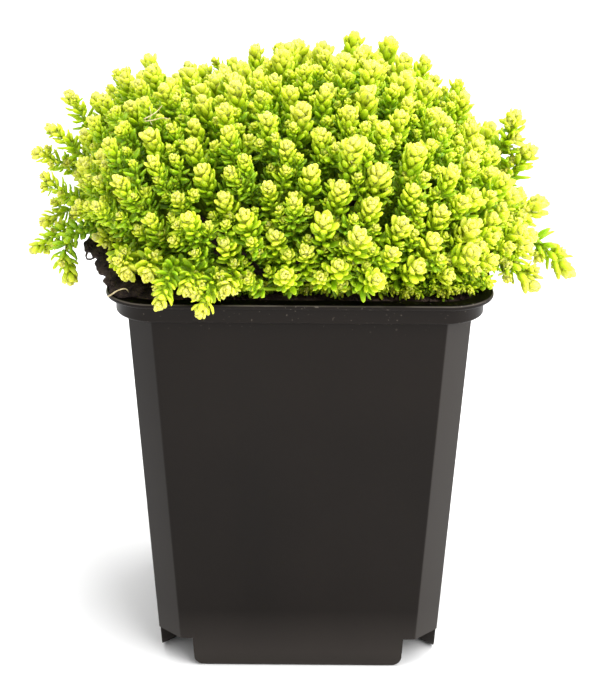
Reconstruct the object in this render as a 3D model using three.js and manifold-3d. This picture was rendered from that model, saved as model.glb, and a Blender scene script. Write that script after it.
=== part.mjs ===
// Potted golden stonecrop: a square nursery pot with four feet, the potting soil in it, and the
// plant as the rooted clumps and trailing stems that would come apart on a bench.
// Millimetres, +Z up. The origin is on the pot's axis at the level that its feet stand on, and
// the face of the pot that looks at -Y is the front.
import * as THREE from "three";
import { mergeVertices } from "three/addons/utils/BufferGeometryUtils.js";
import Module from "manifold-3d";

const wasm = await Module();
wasm.setup();

// Pot
const POT_HEIGHT = 100;
const WALL = 1.1;
const LIP_HALF = 45;
const LIP_RADIUS = 11;
const LIP_THICKNESS = 1.2;
const COLLAR_HALF = 42.8;
const COLLAR_RADIUS = 9.5;
const COLLAR_BOTTOM = 94.6;
const BODY_TOP_HALF = 40.2;
const BODY_FOOT_HALF = 34.2;
const CHAMFER_TOP = 6.0;
const CHAMFER_FOOT = 5.7;
const FOOT_HEIGHT = 7.9;
const FOOT_EDGE_RADIUS = 2.4;
const CHANNEL_HALF = 6.1;
const CORNER_STEPS = 5;
const FOOT_EDGE_STEPS = 2;
const DRAIN_RADIUS = 3.5;
const MIDDLE_DRAIN_RADIUS = 4.5;
const DRAIN_OFFSET = 19;

// Clearance between two pieces that touch
const GAP = 0.3;

// Soil: the crowned filling, and the lumps of the heap that lies over the left of the rim
const SOIL_EDGE_Z = 97.2;
const SOIL_CROWN_Z = 100.5;
const CROWN_STEPS = 6;
const HEAP_LUMPS = [
  { at: [-46.5, 9, 101.6], size: [6.2, 12, 3.0] },
  { at: [-47, -6, 101.2], size: [5.0, 11, 2.4] },
  { at: [-44, -20, 100.9], size: [4.2, 9, 1.8] },
  { at: [-38, -3, 98.6], size: [7.5, 22, 4.2] },
];

// Mound of shoots: its half width and depth, the level where it is widest, and its crest
// as seen from the front, x against z, from the left end to the right.
const MOUND_HALF_X = 57;
const MOUND_FRONT = 50;
const MOUND_BACK = 51;
const MOUND_WAIST_Z = 104;
const MOUND_SQUARENESS = 2.5;
const MOUND_CREST = [
  [-57, 104],
  [-55, 122],
  [-50, 135.5],
  [-44, 142.5],
  [-34, 143],
  [-25, 143],
  [-15, 144],
  [-5, 146],
  [6, 147],
  [16, 147.5],
  [24, 145],
  [31, 141],
  [38, 136],
  [44, 130],
  [49, 121],
  [54, 111],
  [57, 104],
];
const SHOOT_COUNT = 270;
const CLUMP_COUNT = 37;
const LOWEST_DIRECTION = -0.1;
const ROOT_SPREAD_X = 0.55;
const ROOT_SPREAD_Y = 0.62;

// How a shoot of the mound grows: its tip lies up to TIP_SCATTER under or over the mound, and
// the last stretch, a share BEND_SHARE of its reach, leans outwards and upwards.
const FAN_Z = 92;
const UPWARD_LEAN = 1.0;
const TIP_SCATTER = 6;
const TIP_SINK = 0.6;
const BEND_SHARE = 0.55;
const BEND_LEAST = 9;
const BEND_MOST = 26;

// Where shoots must keep clear of the rim, and of the heap over its left side
const OVER_RIM = 34;
const RIM_CLEAR_Z = 104;
const HEAP_CLEAR_Z = 107;
const HEAP_SIDE_X = -30;
const HEAP_ROOT_X = -25;

// Where no shoot of the mound comes down and the soil shows: the front of the rim, and its left
// corner, where only single stems lie. Both are bounds on a shoot's direction.
const BARE_FRONT = { y: -0.5, x: -0.3, z: 0.06 };
const BARE_CORNER = { y: 0.2, x: -0.3, z: 0.2 };

// One shoot: a thin stem that swells to a leafy head
const STEM_RADIUS = 0.8;
const HEAD_RADIUS = 2.3;
const HEAD_WIDEST = 3.4;
const SHOULDER_SHARE = 0.55;
const SHOULDER_SWELL = 1.3;
const SHOOT_SIDES = 5;
const STRAY_STEM_SHARES = [0.2, 0.38];
const SHOOT_CLEAR = 0.5;
const BEAD_COUNT = 20;
const BEAD_SWELL_START = 0.5;
const BEAD_SWELL_LENGTH = 0.4;

// Root stub of a clump, in the soil, with its crown just over the soil
const ROOT_CROWN = 1;
const ROOT_DEPTH = 7;
const ROOT_RADIUS = 1.5;
const ROOT_TIP_RADIUS = 0.6;
const ROOT_SIDES = 5;

// Stems that stray out of the mound or hang over the rim. Each has a line from its root, which
// is given as x and y on the soil, to its tip.
const STRAYS = [
  { name: "left_top", line: [[-29, 11], [-45, 8, 117], [-52, 5, 128], [-57, 5, 136]] },
  { name: "left_shoulder", line: [[-34, 5.5], [-47, 1, 114], [-55, 0, 123.5], [-61.5, 0, 129]] },
  { name: "left_high", line: [[-36.5, 15], [-49, 9, 112], [-58, 3, 118.5], [-65, 0, 122.5]] },
  { name: "left_middle", line: [[-34, -2.5], [-47, -5, 109.5], [-56, -4, 112.5], [-63, -3, 117.5]] },
  { name: "left_low", line: [[-37, 1.5], [-47, 1.5, 107.5], [-55, 1, 108], [-64, 0, 104]] },
  { name: "left_drooping", line: [[-37, -6.5], [-48, -5, 105.8], [-58, -5, 103.5], [-66, -5, 98.5]] },
  { name: "left_hanging", line: [[-36.5, -11.5], [-48, -11, 107], [-56.5, -12, 103], [-55.5, -13, 93]] },
  { name: "corner", line: [[-35, -17], [-41, -18.5, 106], [-49, -20, 107.5]] },
  { name: "corner_low", line: [[-35, -24], [-40.5, -30, 107], [-39.5, -41, 105.5]] },
  { name: "front_left", line: [[-31, -31], [-34, -37, 107.5], [-34.5, -45, 106.5]] },
  { name: "front_overhang", line: [[-25, -34], [-28, -41, 107.8], [-30, -47.5, 106.5], [-31.5, -52.5, 102]] },
  { name: "front_twin", line: [[-20, -35], [-24, -43, 107.5], [-25.5, -51, 105]] },
  { name: "front_spill", line: [[-14, -34], [-18, -42, 106], [-20.5, -48, 104.5], [-22.5, -52, 100]] },
  { name: "front_edge", line: [[-10, -35], [-14, -43, 106.5], [-16.5, -50.5, 105.5]] },
  { name: "right_top", line: [[28, 12], [44, 8, 115], [50, 5, 124], [52.5, 5, 132]] },
  { name: "right_high", line: [[36.5, 1.5], [46, 4.5, 110.5], [52, 5, 117], [57, 5, 123]] },
  { name: "right_middle", line: [[37, -7], [46, -2, 107], [54, 0, 107.5], [60, 0, 110.5]] },
  { name: "right_trailing", line: [[34, -11], [47, -9, 105.2], [57, -6.5, 102.5], [66, -8, 94.5]] },
  { name: "right_low", line: [[33, -20], [46, -22, 104.2], [51, -24, 101.5], [56, -26, 97.5]] },
];

// Colours of the materials
const POT_COLOUR = 0x2b2725;
const SOIL_COLOUR = 0x33251b;
const SHOOT_COLOUR = 0xc3dc3c;

// Smallest helpers

function fract(value) {
  return value - Math.floor(value);
}

// A repeatable number from 0 to 1 for the shoot numbered index; each use has its own salt.
function scatter(index, salt) {
  return fract(Math.sin(index * 12.9898 + salt * 78.233) * 43758.5453);
}

function clamp(value, low, high) {
  return Math.min(Math.max(value, low), high);
}

// A closed three.js geometry as a solid that can be joined and cut.
function solidFrom(geometry) {
  const bare = geometry.clone();
  bare.deleteAttribute("normal");
  bare.deleteAttribute("uv");
  const merged = mergeVertices(bare, 1e-4);
  const triVerts = [];
  const index = merged.index.array;
  for (let i = 0; i < index.length; i += 3) {
    const [a, b, c] = [index[i], index[i + 1], index[i + 2]];
    if (a !== b && b !== c && c !== a) {
      triVerts.push(a, b, c);
    }
  }
  const mesh = new wasm.Mesh({
    numProp: 3,
    vertProperties: merged.attributes.position.array,
    triVerts: new Uint32Array(triVerts),
  });
  return new wasm.Manifold(mesh);
}

// A joined or cut solid as a three.js geometry.
function geometryFrom(solid) {
  const mesh = solid.getMesh();
  const geometry = new THREE.BufferGeometry();
  geometry.setAttribute("position", new THREE.BufferAttribute(mesh.vertProperties, 3));
  geometry.setIndex(new THREE.BufferAttribute(mesh.triVerts, 1));
  geometry.computeVertexNormals();
  return geometry;
}

function unionOf(solids) {
  return solids.reduce((joined, solid) => joined.add(solid));
}

// Pot

function bodyHalf(z) {
  return THREE.MathUtils.mapLinear(z, 0, COLLAR_BOTTOM, BODY_FOOT_HALF, BODY_TOP_HALF);
}

function bodyChamfer(z) {
  return THREE.MathUtils.mapLinear(z, 0, COLLAR_BOTTOM, CHAMFER_FOOT, CHAMFER_TOP);
}

function roundedSquare(half, radius) {
  const shape = new THREE.Shape();
  const inner = half - radius;
  shape.absarc(inner, inner, radius, 0, Math.PI / 2);
  shape.absarc(-inner, inner, radius, Math.PI / 2, Math.PI);
  shape.absarc(-inner, -inner, radius, Math.PI, Math.PI * 1.5);
  shape.absarc(inner, -inner, radius, Math.PI * 1.5, Math.PI * 2);
  return shape;
}

function squarePrism(half, radius, bottomZ, topZ) {
  const geometry = new THREE.ExtrudeGeometry(roundedSquare(half, radius), {
    depth: topZ - bottomZ,
    bevelEnabled: false,
    curveSegments: CORNER_STEPS,
  });
  geometry.translate(0, 0, bottomZ);
  return solidFrom(geometry);
}

// The tapered body: a square with chamfered corners, set in from the outer walls by inset.
function taperedBody(inset, bottomZ, topZ) {
  const halfAt = (z) => bodyHalf(z) - inset;
  const flatAt = (z) => halfAt(z) - (bodyChamfer(z) - inset * (2 - Math.SQRT2));
  const half = halfAt(topZ);
  const flat = flatAt(topZ);
  const shape = new THREE.Shape();
  shape.moveTo(half, -flat);
  shape.lineTo(half, flat);
  shape.lineTo(flat, half);
  shape.lineTo(-flat, half);
  shape.lineTo(-half, flat);
  shape.lineTo(-half, -flat);
  shape.lineTo(-flat, -half);
  shape.lineTo(flat, -half);
  shape.closePath();
  const geometry = new THREE.ExtrudeGeometry(shape, { depth: topZ - bottomZ, bevelEnabled: false });
  geometry.translate(0, 0, bottomZ);
  const position = geometry.attributes.position;
  const shrink = (value, z) => {
    const size = Math.abs(value) > (half + flat) / 2 ? halfAt(z) : flatAt(z);
    return Math.sign(value) * size;
  };
  for (let i = 0; i < position.count; i += 1) {
    const z = position.getZ(i);
    position.setXY(i, shrink(position.getX(i), z), shrink(position.getY(i), z));
  }
  return solidFrom(geometry);
}

// The raised cross under the pot, from corner to corner, that leaves a foot at each side.
function channelCross(grow, edgeRadius) {
  const half = CHANNEL_HALF + grow;
  const top = FOOT_HEIGHT + grow;
  const below = -1;
  const length = 4 * BODY_TOP_HALF;
  const profile = new THREE.Shape();
  profile.moveTo(-half, top);
  profile.lineTo(-half, edgeRadius);
  if (edgeRadius > 0) {
    profile.absarc(-half - edgeRadius, edgeRadius, edgeRadius, 0, -Math.PI / 2, true);
    profile.lineTo(-half - edgeRadius, below);
    profile.lineTo(half + edgeRadius, below);
    profile.absarc(half + edgeRadius, edgeRadius, edgeRadius, -Math.PI / 2, -Math.PI, true);
  } else {
    profile.lineTo(-half, below);
    profile.lineTo(half, below);
  }
  profile.lineTo(half, top);
  const arms = [Math.PI / 4, -Math.PI / 4].map((turn) => {
    const arm = new THREE.ExtrudeGeometry(profile, {
      depth: length,
      bevelEnabled: false,
      curveSegments: FOOT_EDGE_STEPS,
    });
    arm.translate(0, 0, -length / 2);
    arm.rotateX(Math.PI / 2);
    arm.rotateZ(turn);
    return solidFrom(arm);
  });
  return unionOf(arms);
}

function drainHole(x, y, radius) {
  const hole = new THREE.CylinderGeometry(radius, radius, 3 * WALL, 16);
  hole.rotateX(Math.PI / 2);
  hole.translate(x, y, FOOT_HEIGHT + WALL / 2);
  return solidFrom(hole);
}

// The room inside the pot, less a layer of the thickness clear all round.
function potRoom(clear, topZ) {
  const floor = taperedBody(WALL + clear, WALL + clear, COLLAR_BOTTOM + WALL + clear);
  const collar = squarePrism(
    COLLAR_HALF - WALL - clear,
    COLLAR_RADIUS - WALL - clear,
    COLLAR_BOTTOM + WALL + clear,
    topZ,
  );
  return floor.add(collar).subtract(channelCross(WALL + clear, 0));
}

function nurseryPot() {
  const body = taperedBody(0, 0, COLLAR_BOTTOM);
  const collar = squarePrism(COLLAR_HALF, COLLAR_RADIUS, COLLAR_BOTTOM, POT_HEIGHT);
  const lip = squarePrism(LIP_HALF, LIP_RADIUS, POT_HEIGHT - LIP_THICKNESS, POT_HEIGHT);
  const outside = body.add(collar).add(lip).subtract(channelCross(0, FOOT_EDGE_RADIUS));
  const holes = [drainHole(0, 0, MIDDLE_DRAIN_RADIUS)];
  for (const sideX of [-1, 1]) {
    for (const sideY of [-1, 1]) {
      holes.push(drainHole(sideX * DRAIN_OFFSET, sideY * DRAIN_OFFSET, DRAIN_RADIUS));
    }
  }
  return outside.subtract(potRoom(0, POT_HEIGHT + 1)).subtract(unionOf(holes));
}

// Soil

function lump({ at, size }) {
  const ball = new THREE.SphereGeometry(1, 8, 5);
  ball.rotateX(Math.PI / 2);
  ball.scale(...size);
  ball.translate(...at);
  return solidFrom(ball);
}

// The level of the filling: a low crown that falls to the walls.
function crownLevel(x, y) {
  const reach = clamp(Math.max(Math.abs(x), Math.abs(y)) / COLLAR_HALF, 0, 1);
  return SOIL_CROWN_Z + (SOIL_EDGE_Z - SOIL_CROWN_Z) * reach * reach;
}

// The level of the soil where the plant's roots go in, the heap on it included.
function soilLevel(x, y) {
  let level = crownLevel(x, y);
  for (const { at, size } of HEAP_LUMPS) {
    const inside = 1 - ((x - at[0]) / size[0]) ** 2 - ((y - at[1]) / size[1]) ** 2;
    if (inside > 0) {
      level = Math.max(level, at[2] + size[2] * Math.sqrt(inside));
    }
  }
  return level;
}

// The filling, with its top crowned, and the loose heap that lies over the left of the rim.
function pottingSoil(rooted) {
  const coverWidth = 3 * BODY_TOP_HALF;
  const cover = new THREE.BoxGeometry(coverWidth, coverWidth, POT_HEIGHT, CROWN_STEPS, CROWN_STEPS, 1);
  const position = cover.attributes.position;
  for (let i = 0; i < position.count; i += 1) {
    const x = position.getX(i);
    const y = position.getY(i);
    position.setZ(i, position.getZ(i) > 0 ? crownLevel(x, y) : -1);
  }
  const ledge = COLLAR_BOTTOM + WALL + GAP;
  const rimRing = squarePrism(coverWidth / 2, LIP_RADIUS, FOOT_HEIGHT, POT_HEIGHT + GAP).subtract(
    squarePrism(COLLAR_HALF - WALL - GAP, COLLAR_RADIUS - WALL - GAP, ledge, POT_HEIGHT + 1),
  );
  const filling = potRoom(GAP, POT_HEIGHT).intersect(solidFrom(cover));
  const heap = unionOf(HEAP_LUMPS.map(lump)).subtract(rimRing);
  return unionOf([filling, heap]).subtract(rooted);
}

// Plant

// The height of the mound's crest above a point x on its width.
function crestAt(x) {
  const last = MOUND_CREST.length - 1;
  for (let i = 0; i < last; i += 1) {
    const [x0, z0] = MOUND_CREST[i];
    const [x1, z1] = MOUND_CREST[i + 1];
    if (x <= x1 || i === last - 1) {
      return z0 + ((z1 - z0) * clamp(x - x0, 0, x1 - x0)) / (x1 - x0);
    }
  }
  return MOUND_WAIST_Z;
}

// Direction number index of count, spread evenly over the upper half of a ball.
function spreadDirection(index, count) {
  const turn = index * Math.PI * (3 - Math.sqrt(5));
  const up = 1 - ((1 - LOWEST_DIRECTION) * (index + 0.5)) / count;
  const flat = Math.sqrt(1 - up * up);
  return new THREE.Vector3(flat * Math.cos(turn), flat * Math.sin(turn), up);
}

// How far a point of the unit circle moves out to lie on a rounded square.
function boxy(a, b) {
  return (Math.abs(a) ** MOUND_SQUARENESS + Math.abs(b) ** MOUND_SQUARENESS) ** (-1 / MOUND_SQUARENESS);
}

// The point on the mound that a direction reaches.
function moundPoint(direction) {
  const round = Math.hypot(direction.y, direction.z);
  const along = MOUND_HALF_X * direction.x * boxy(direction.x, round);
  const ring = round * boxy(direction.x, round);
  const depth = ring * (direction.y < 0 ? MOUND_FRONT : MOUND_BACK);
  const rise = crestAt(along) - MOUND_WAIST_Z;
  const side = direction.y / round;
  const up = direction.z / round;
  const square = boxy(side, up);
  return new THREE.Vector3(along, depth * side * square, MOUND_WAIST_Z + rise * up * square);
}

function rootAt(x, y) {
  return new THREE.Vector3(x, y, soilLevel(x, y) + ROOT_CROWN);
}

function clumpRoot(direction) {
  const top = moundPoint(direction);
  return rootAt(top.x * ROOT_SPREAD_X, top.y * ROOT_SPREAD_Y);
}

// The line of one shoot, from its root to its tip, which turns up towards the light and keeps
// clear of the rim and of the heap on it.
function shootLine(root, direction, index) {
  const tip = moundPoint(direction);
  const out = tip.clone().sub(new THREE.Vector3(0, 0, FAN_Z)).normalize();
  const lean = out.clone().add(new THREE.Vector3(0, 0, UPWARD_LEAN)).normalize();
  tip.addScaledVector(out, TIP_SCATTER * (scatter(index, 1) - TIP_SINK));
  const bend = clamp(BEND_SHARE * tip.distanceTo(root), BEND_LEAST, BEND_MOST);
  const middle = tip.clone().addScaledVector(lean, -bend);
  const clear = middle.x < HEAP_SIDE_X ? HEAP_CLEAR_Z : RIM_CLEAR_Z;
  if (Math.max(Math.abs(middle.x), Math.abs(middle.y)) > OVER_RIM) {
    middle.z = Math.max(middle.z, clear);
  }
  if (Math.max(Math.abs(tip.x), Math.abs(tip.y)) < LIP_HALF + 2 * HEAD_RADIUS) {
    tip.z = Math.max(tip.z, clear);
  }
  return new THREE.QuadraticBezierCurve3(root, middle, tip);
}

function strayLine(line) {
  const [[rootX, rootY], ...rest] = line;
  const points = [rootAt(rootX, rootY), ...rest.map((point) => new THREE.Vector3(...point))];
  return new THREE.CatmullRomCurve3(points, false, "catmullrom", 0.5);
}

// Points along a shoot's line, each with the radius of the shoot there.
function shootBeads(line) {
  const beads = [];
  for (let k = 1; k <= BEAD_COUNT; k += 1) {
    const share = k / BEAD_COUNT;
    const swelling = clamp((share - BEAD_SWELL_START) / BEAD_SWELL_LENGTH, 0, 1);
    const radius = STEM_RADIUS + (HEAD_RADIUS - STEM_RADIUS) * swelling;
    beads.push({ point: line.getPoint(share), radius });
  }
  return beads;
}

// The room between two shoots where they come nearest.
function roomBetween(beadsA, beadsB) {
  let room = Infinity;
  for (const a of beadsA) {
    for (const b of beadsB) {
      room = Math.min(room, a.point.distanceTo(b.point) - a.radius - b.radius);
    }
  }
  return room;
}

// How a shoot's rings turn at the given shares of its line: each turn carries on from the one
// before, so the shoot bends without a twist.
function ringTurns(line, shares) {
  const heading = new THREE.Vector3(0, 1, 0);
  const turn = new THREE.Quaternion();
  const step = new THREE.Quaternion();
  return shares.map((share) => {
    const next = line.getTangentAt(share);
    turn.premultiply(step.setFromUnitVectors(heading, next));
    heading.copy(next);
    return turn.clone();
  });
}

// A bud-shaped shoot bent along its line: a thin stem, with rings at the shares in stemShares,
// that swells to its leafy head. The thickness grow is added all round.
function shootSolid(line, stemShares, grow) {
  const length = line.getLength();
  const rings = [
    [0, 0],
    [STEM_RADIUS + grow, 0],
    ...stemShares.map((share) => [STEM_RADIUS + grow, share]),
    [SHOULDER_SWELL * STEM_RADIUS + grow, SHOULDER_SHARE],
    [HEAD_RADIUS + grow, 1 - HEAD_WIDEST / length],
    [0, 1],
  ];
  const turns = ringTurns(line, rings.map(([, share]) => share));
  const bud = new THREE.LatheGeometry(rings.map((ring) => new THREE.Vector2(...ring)), SHOOT_SIDES);
  const position = bud.attributes.position;
  const point = new THREE.Vector3();
  for (let i = 0; i < position.count; i += 1) {
    const turn = turns[i % rings.length];
    point.set(position.getX(i), 0, position.getZ(i)).applyQuaternion(turn);
    point.add(line.getPointAt(position.getY(i)));
    position.setXYZ(i, point.x, point.y, point.z);
  }
  return solidFrom(bud);
}

function shootSolids({ lines, stemShares }, grow) {
  return lines.map((line) => shootSolid(line, stemShares, grow));
}

function rootStub(root, grow) {
  const profile = [
    new THREE.Vector2(0, -ROOT_DEPTH - grow),
    new THREE.Vector2(ROOT_TIP_RADIUS + grow, -ROOT_DEPTH - grow),
    new THREE.Vector2(ROOT_RADIUS + grow, 0),
    new THREE.Vector2(0, ROOT_RADIUS + grow),
  ];
  const stub = new THREE.LatheGeometry(profile, ROOT_SIDES);
  stub.rotateX(Math.PI / 2);
  stub.translate(root.x, root.y, root.z);
  return solidFrom(stub);
}

function nearestClump(direction) {
  let best = 0;
  for (let k = 1; k < CLUMP_COUNT; k += 1) {
    const near = direction.dot(spreadDirection(k, CLUMP_COUNT));
    if (near > direction.dot(spreadDirection(best, CLUMP_COUNT))) {
      best = k;
    }
  }
  return best;
}

function isBare({ x, y, z }) {
  const front = y < BARE_FRONT.y && x > BARE_FRONT.x && z < BARE_FRONT.z;
  const corner = y < BARE_CORNER.y && x < BARE_CORNER.x && z < BARE_CORNER.z;
  return front || corner;
}

// The plant's pieces: each has a name, a root, the lines of its shoots and where their stems bend.
// A shoot that would crowd another piece is left out, and so is a tuft that then has no shoots.
function plantPieces() {
  const strays = STRAYS.map(({ name, line }) => {
    const curve = strayLine(line);
    const stemShares = STRAY_STEM_SHARES;
    return { name: "stray_stem_" + name, root: curve.points[0], lines: [curve], stemShares };
  });
  const clumps = [];
  for (let k = 0; k < CLUMP_COUNT; k += 1) {
    const root = clumpRoot(spreadDirection(k, CLUMP_COUNT));
    clumps.push({ root, lines: [], stemShares: [] });
  }
  const grown = strays.map((stray) => ({ piece: stray, beads: shootBeads(stray.lines[0]) }));
  for (let i = 0; i < SHOOT_COUNT; i += 1) {
    const direction = spreadDirection(i, SHOOT_COUNT);
    const piece = clumps[nearestClump(direction)];
    const line = shootLine(piece.root, direction, i);
    const beads = shootBeads(line);
    const crowded = grown.some(
      (other) => other.piece !== piece && roomBetween(beads, other.beads) < SHOOT_CLEAR,
    );
    if (!crowded && !isBare(direction)) {
      piece.lines.push(line);
      grown.push({ piece, beads });
    }
  }
  const tufts = clumps.filter(({ lines }) => lines.length > 0);
  tufts.forEach((tuft, k) => {
    tuft.name = "mound_clump_" + String(k + 1).padStart(2, "0");
  });
  return [...tufts, ...strays];
}

// Materials and assembly

const potPlastic = new THREE.MeshStandardMaterial({
  color: POT_COLOUR,
  roughness: 0.42,
  metalness: 0,
});
const peat = new THREE.MeshStandardMaterial({ color: SOIL_COLOUR, roughness: 0.95, metalness: 0 });
const leafy = new THREE.MeshStandardMaterial({ color: SHOOT_COLOUR, roughness: 0.55, metalness: 0 });

const stonecrop = new THREE.Group();

function place(name, solid, material) {
  const mesh = new THREE.Mesh(geometryFrom(solid), material);
  mesh.name = name;
  stonecrop.add(mesh);
}

const pieces = plantPieces();
const inHeap = pieces.filter(({ root }) => root.x < HEAP_ROOT_X);
const burrows = inHeap.flatMap((piece) => shootSolids(piece, GAP));
const sockets = pieces.map(({ root }) => rootStub(root, GAP));
place("nursery_pot", nurseryPot(), potPlastic);
place("potting_soil", pottingSoil(unionOf([...sockets, ...burrows])), peat);
for (const piece of pieces) {
  place(piece.name, unionOf([rootStub(piece.root, 0), ...shootSolids(piece, 0)]), leafy);
}

export default stonecrop;
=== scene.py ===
"""Looks of the potted golden stonecrop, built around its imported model.

Sizes and places are in millimetres until a mesh is made, where MM turns them into metres.
"""

import math

import bmesh
import bpy
import numpy as np
from mathutils import Matrix, Vector, noise


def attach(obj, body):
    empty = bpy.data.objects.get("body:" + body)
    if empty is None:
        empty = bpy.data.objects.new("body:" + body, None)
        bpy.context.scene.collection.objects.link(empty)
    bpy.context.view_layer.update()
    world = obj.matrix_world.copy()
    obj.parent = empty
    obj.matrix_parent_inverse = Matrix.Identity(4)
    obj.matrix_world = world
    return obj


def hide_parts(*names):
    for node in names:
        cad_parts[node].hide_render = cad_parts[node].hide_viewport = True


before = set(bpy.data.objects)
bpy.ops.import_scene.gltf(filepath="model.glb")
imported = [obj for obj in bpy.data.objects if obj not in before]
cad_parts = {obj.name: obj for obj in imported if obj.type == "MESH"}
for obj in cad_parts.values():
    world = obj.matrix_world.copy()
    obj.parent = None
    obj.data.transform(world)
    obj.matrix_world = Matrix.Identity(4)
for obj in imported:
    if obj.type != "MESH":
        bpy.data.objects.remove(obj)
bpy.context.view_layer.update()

MM = 0.001
GOLDEN_ANGLE = math.pi * (3 - math.sqrt(5))

# Pot, as in the model
POT_HEIGHT = 100
WALL = 1.1
LIP_HALF = 45
LIP_RADIUS = 11
LIP_THICKNESS = 1.2
COLLAR_HALF = 42.8
COLLAR_RADIUS = 9.5
COLLAR_BOTTOM = 94.6
BODY_TOP_HALF = 40.2
BODY_FOOT_HALF = 34.2
CHAMFER_TOP = 6.0
CHAMFER_FOOT = 5.7
FOOT_HEIGHT = 7.9
FOOT_EDGE_RADIUS = 2.4
CHANNEL_HALF = 6.1
DRAIN_RADIUS = 3.5
MIDDLE_DRAIN_RADIUS = 4.5
DRAIN_OFFSET = 19
GAP = 0.3

# Roundings of the pot's edges, where its wall's rings start, and the points on a ring; the fillet
# under the lip is in pairs: how far below the lip, how far out from the collar
BODY_FILLET = 1.0
FOOT_ROUND = 0.7
SHOULDER_ROUND = 0.45
COLLAR_ROUND = 0.6
LIP_ROUND = 0.5
RIM_ROUND = 0.45
UNDER_LIP = ((0.35, 0), (0.1, 0.1), (0, 0.35))
WALL_START_Z = 8
WALL_END_GAP = 0.5
COLLAR_STEP = 0.01
BELOW_FOOT_Z = -1.0
CORNER_POINTS = 16
SIDE_POINTS = 9
HOLE_SIDES = 40
POT_CREASE = 32

# Soil, as in the model
SOIL_EDGE_Z = 97.2
SOIL_CROWN_Z = 100.5
HEAP_LUMPS = (
    ((-46.5, 9, 101.6), (6.2, 12, 3.0)),
    ((-47, -6, 101.2), (5.0, 11, 2.4)),
    ((-44, -20, 100.9), (4.2, 9, 1.8)),
    ((-38, -3, 98.6), (7.5, 22, 4.2)),
)

# Low crumbs of the same heap, spilt over the front left corner of the rim
CORNER_LUMPS = (
    ((-41.5, -29, 100.3), (4.0, 6.5, 1.5)),
    ((-39.5, -36, 100.1), (4.6, 4.5, 1.3)),
    ((-33, -37, 98.6), (7.0, 5.0, 2.2)),
)

# Crumbly skins, in layers of (height, size, salt), and the loose crumbs on the soil and the heap
SOIL_LAYERS = ((0.9, 5.0, 0), (0.5, 1.9, 7), (0.25, 0.8, 3))
LUMP_LAYERS = ((0.9, 3.6, 2), (0.55, 1.5, 5), (0.2, 0.7, 9))
SOIL_RINGS = 46
SOIL_INMOST = 0.02
SOIL_BEVEL = 0.4
SOIL_CREASE = 50
TOP_CRUMBS = 420
HEAP_CRUMBS = 300
TOP_CRUMB = (0.22, 0.72)
HEAP_CRUMB = (0.22, 0.67)
CRUMB_LIFT = 0.2
CRUMB_STRETCH = (0.65, 1.35)
CRUMB_JITTER = 0.22
CRUMB_TURN = 6.28
CRUMB_FROM_WALL = 1.2
FRONT_BAND = 9

# Mound of shoots, as in the model
MOUND_HALF_X = 57
MOUND_FRONT = 50
MOUND_BACK = 51
MOUND_WAIST_Z = 104
MOUND_SQUARENESS = 2.5
MOUND_CREST = (
    (-57, 104), (-55, 122), (-50, 135.5), (-44, 142.5), (-34, 143), (-25, 143), (-15, 144), (-5, 146),
    (6, 147), (16, 147.5), (24, 145), (31, 141), (38, 136), (44, 130), (49, 121), (54, 111), (57, 104),
)
SHOOT_COUNT = 270
CLUMP_COUNT = 37
LOWEST_DIRECTION = -0.1
ROOT_SPREAD_X = 0.55
ROOT_SPREAD_Y = 0.62
FAN_Z = 92
UPWARD_LEAN = 1.0
TIP_SCATTER = 6
TIP_SINK = 0.6
BEND_SHARE = 0.55
BEND_LEAST = 9
BEND_MOST = 26
OVER_RIM = 34
RIM_CLEAR_Z = 104
HEAP_CLEAR_Z = 107
HEAP_SIDE_X = -30
BARE_FRONT = (-0.3, -0.5, 0.06)
BARE_CORNER = (-0.3, 0.2, 0.2)
STEM_RADIUS = 0.8
HEAD_RADIUS = 2.3
SHOOT_CLEAR = 0.5
BEAD_COUNT = 20
BEAD_SWELL_START = 0.5
BEAD_SWELL_LENGTH = 0.4
ROOT_CROWN = 1
STRAYS = (
    ("left_top", ((-29, 11), (-45, 8, 117), (-52, 5, 128), (-57, 5, 136))),
    ("left_shoulder", ((-34, 5.5), (-47, 1, 114), (-55, 0, 123.5), (-61.5, 0, 129))),
    ("left_high", ((-36.5, 15), (-49, 9, 112), (-58, 3, 118.5), (-65, 0, 122.5))),
    ("left_middle", ((-34, -2.5), (-47, -5, 109.5), (-56, -4, 112.5), (-63, -3, 117.5))),
    ("left_low", ((-37, 1.5), (-47, 1.5, 107.5), (-55, 1, 108), (-64, 0, 104))),
    ("left_drooping", ((-37, -6.5), (-48, -5, 105.8), (-58, -5, 103.5), (-66, -5, 98.5))),
    ("left_hanging", ((-36.5, -11.5), (-48, -11, 107), (-56.5, -12, 103), (-55.5, -13, 93))),
    ("corner", ((-35, -17), (-41, -18.5, 106), (-49, -20, 107.5))),
    ("corner_low", ((-35, -24), (-40.5, -30, 107), (-39.5, -41, 105.5))),
    ("front_left", ((-31, -31), (-34, -37, 107.5), (-34.5, -45, 106.5))),
    ("front_overhang", ((-25, -34), (-28, -41, 107.8), (-30, -47.5, 106.5), (-31.5, -52.5, 102))),
    ("front_twin", ((-20, -35), (-24, -43, 107.5), (-25.5, -51, 105))),
    ("front_spill", ((-14, -34), (-18, -42, 106), (-20.5, -48, 104.5), (-22.5, -52, 100))),
    ("front_edge", ((-10, -35), (-14, -43, 106.5), (-16.5, -50.5, 105.5))),
    ("right_top", ((28, 12), (44, 8, 115), (50, 5, 124), (52.5, 5, 132))),
    ("right_high", ((36.5, 1.5), (46, 4.5, 110.5), (52, 5, 117), (57, 5, 123))),
    ("right_middle", ((37, -7), (46, -2, 107), (54, 0, 107.5), (60, 0, 110.5))),
    ("right_trailing", ((34, -11), (47, -9, 105.2), (57, -6.5, 102.5), (66, -8, 94.5))),
    ("right_low", ((33, -20), (46, -22, 104.2), (51, -24, 101.5), (56, -26, 97.5))),
)

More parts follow.
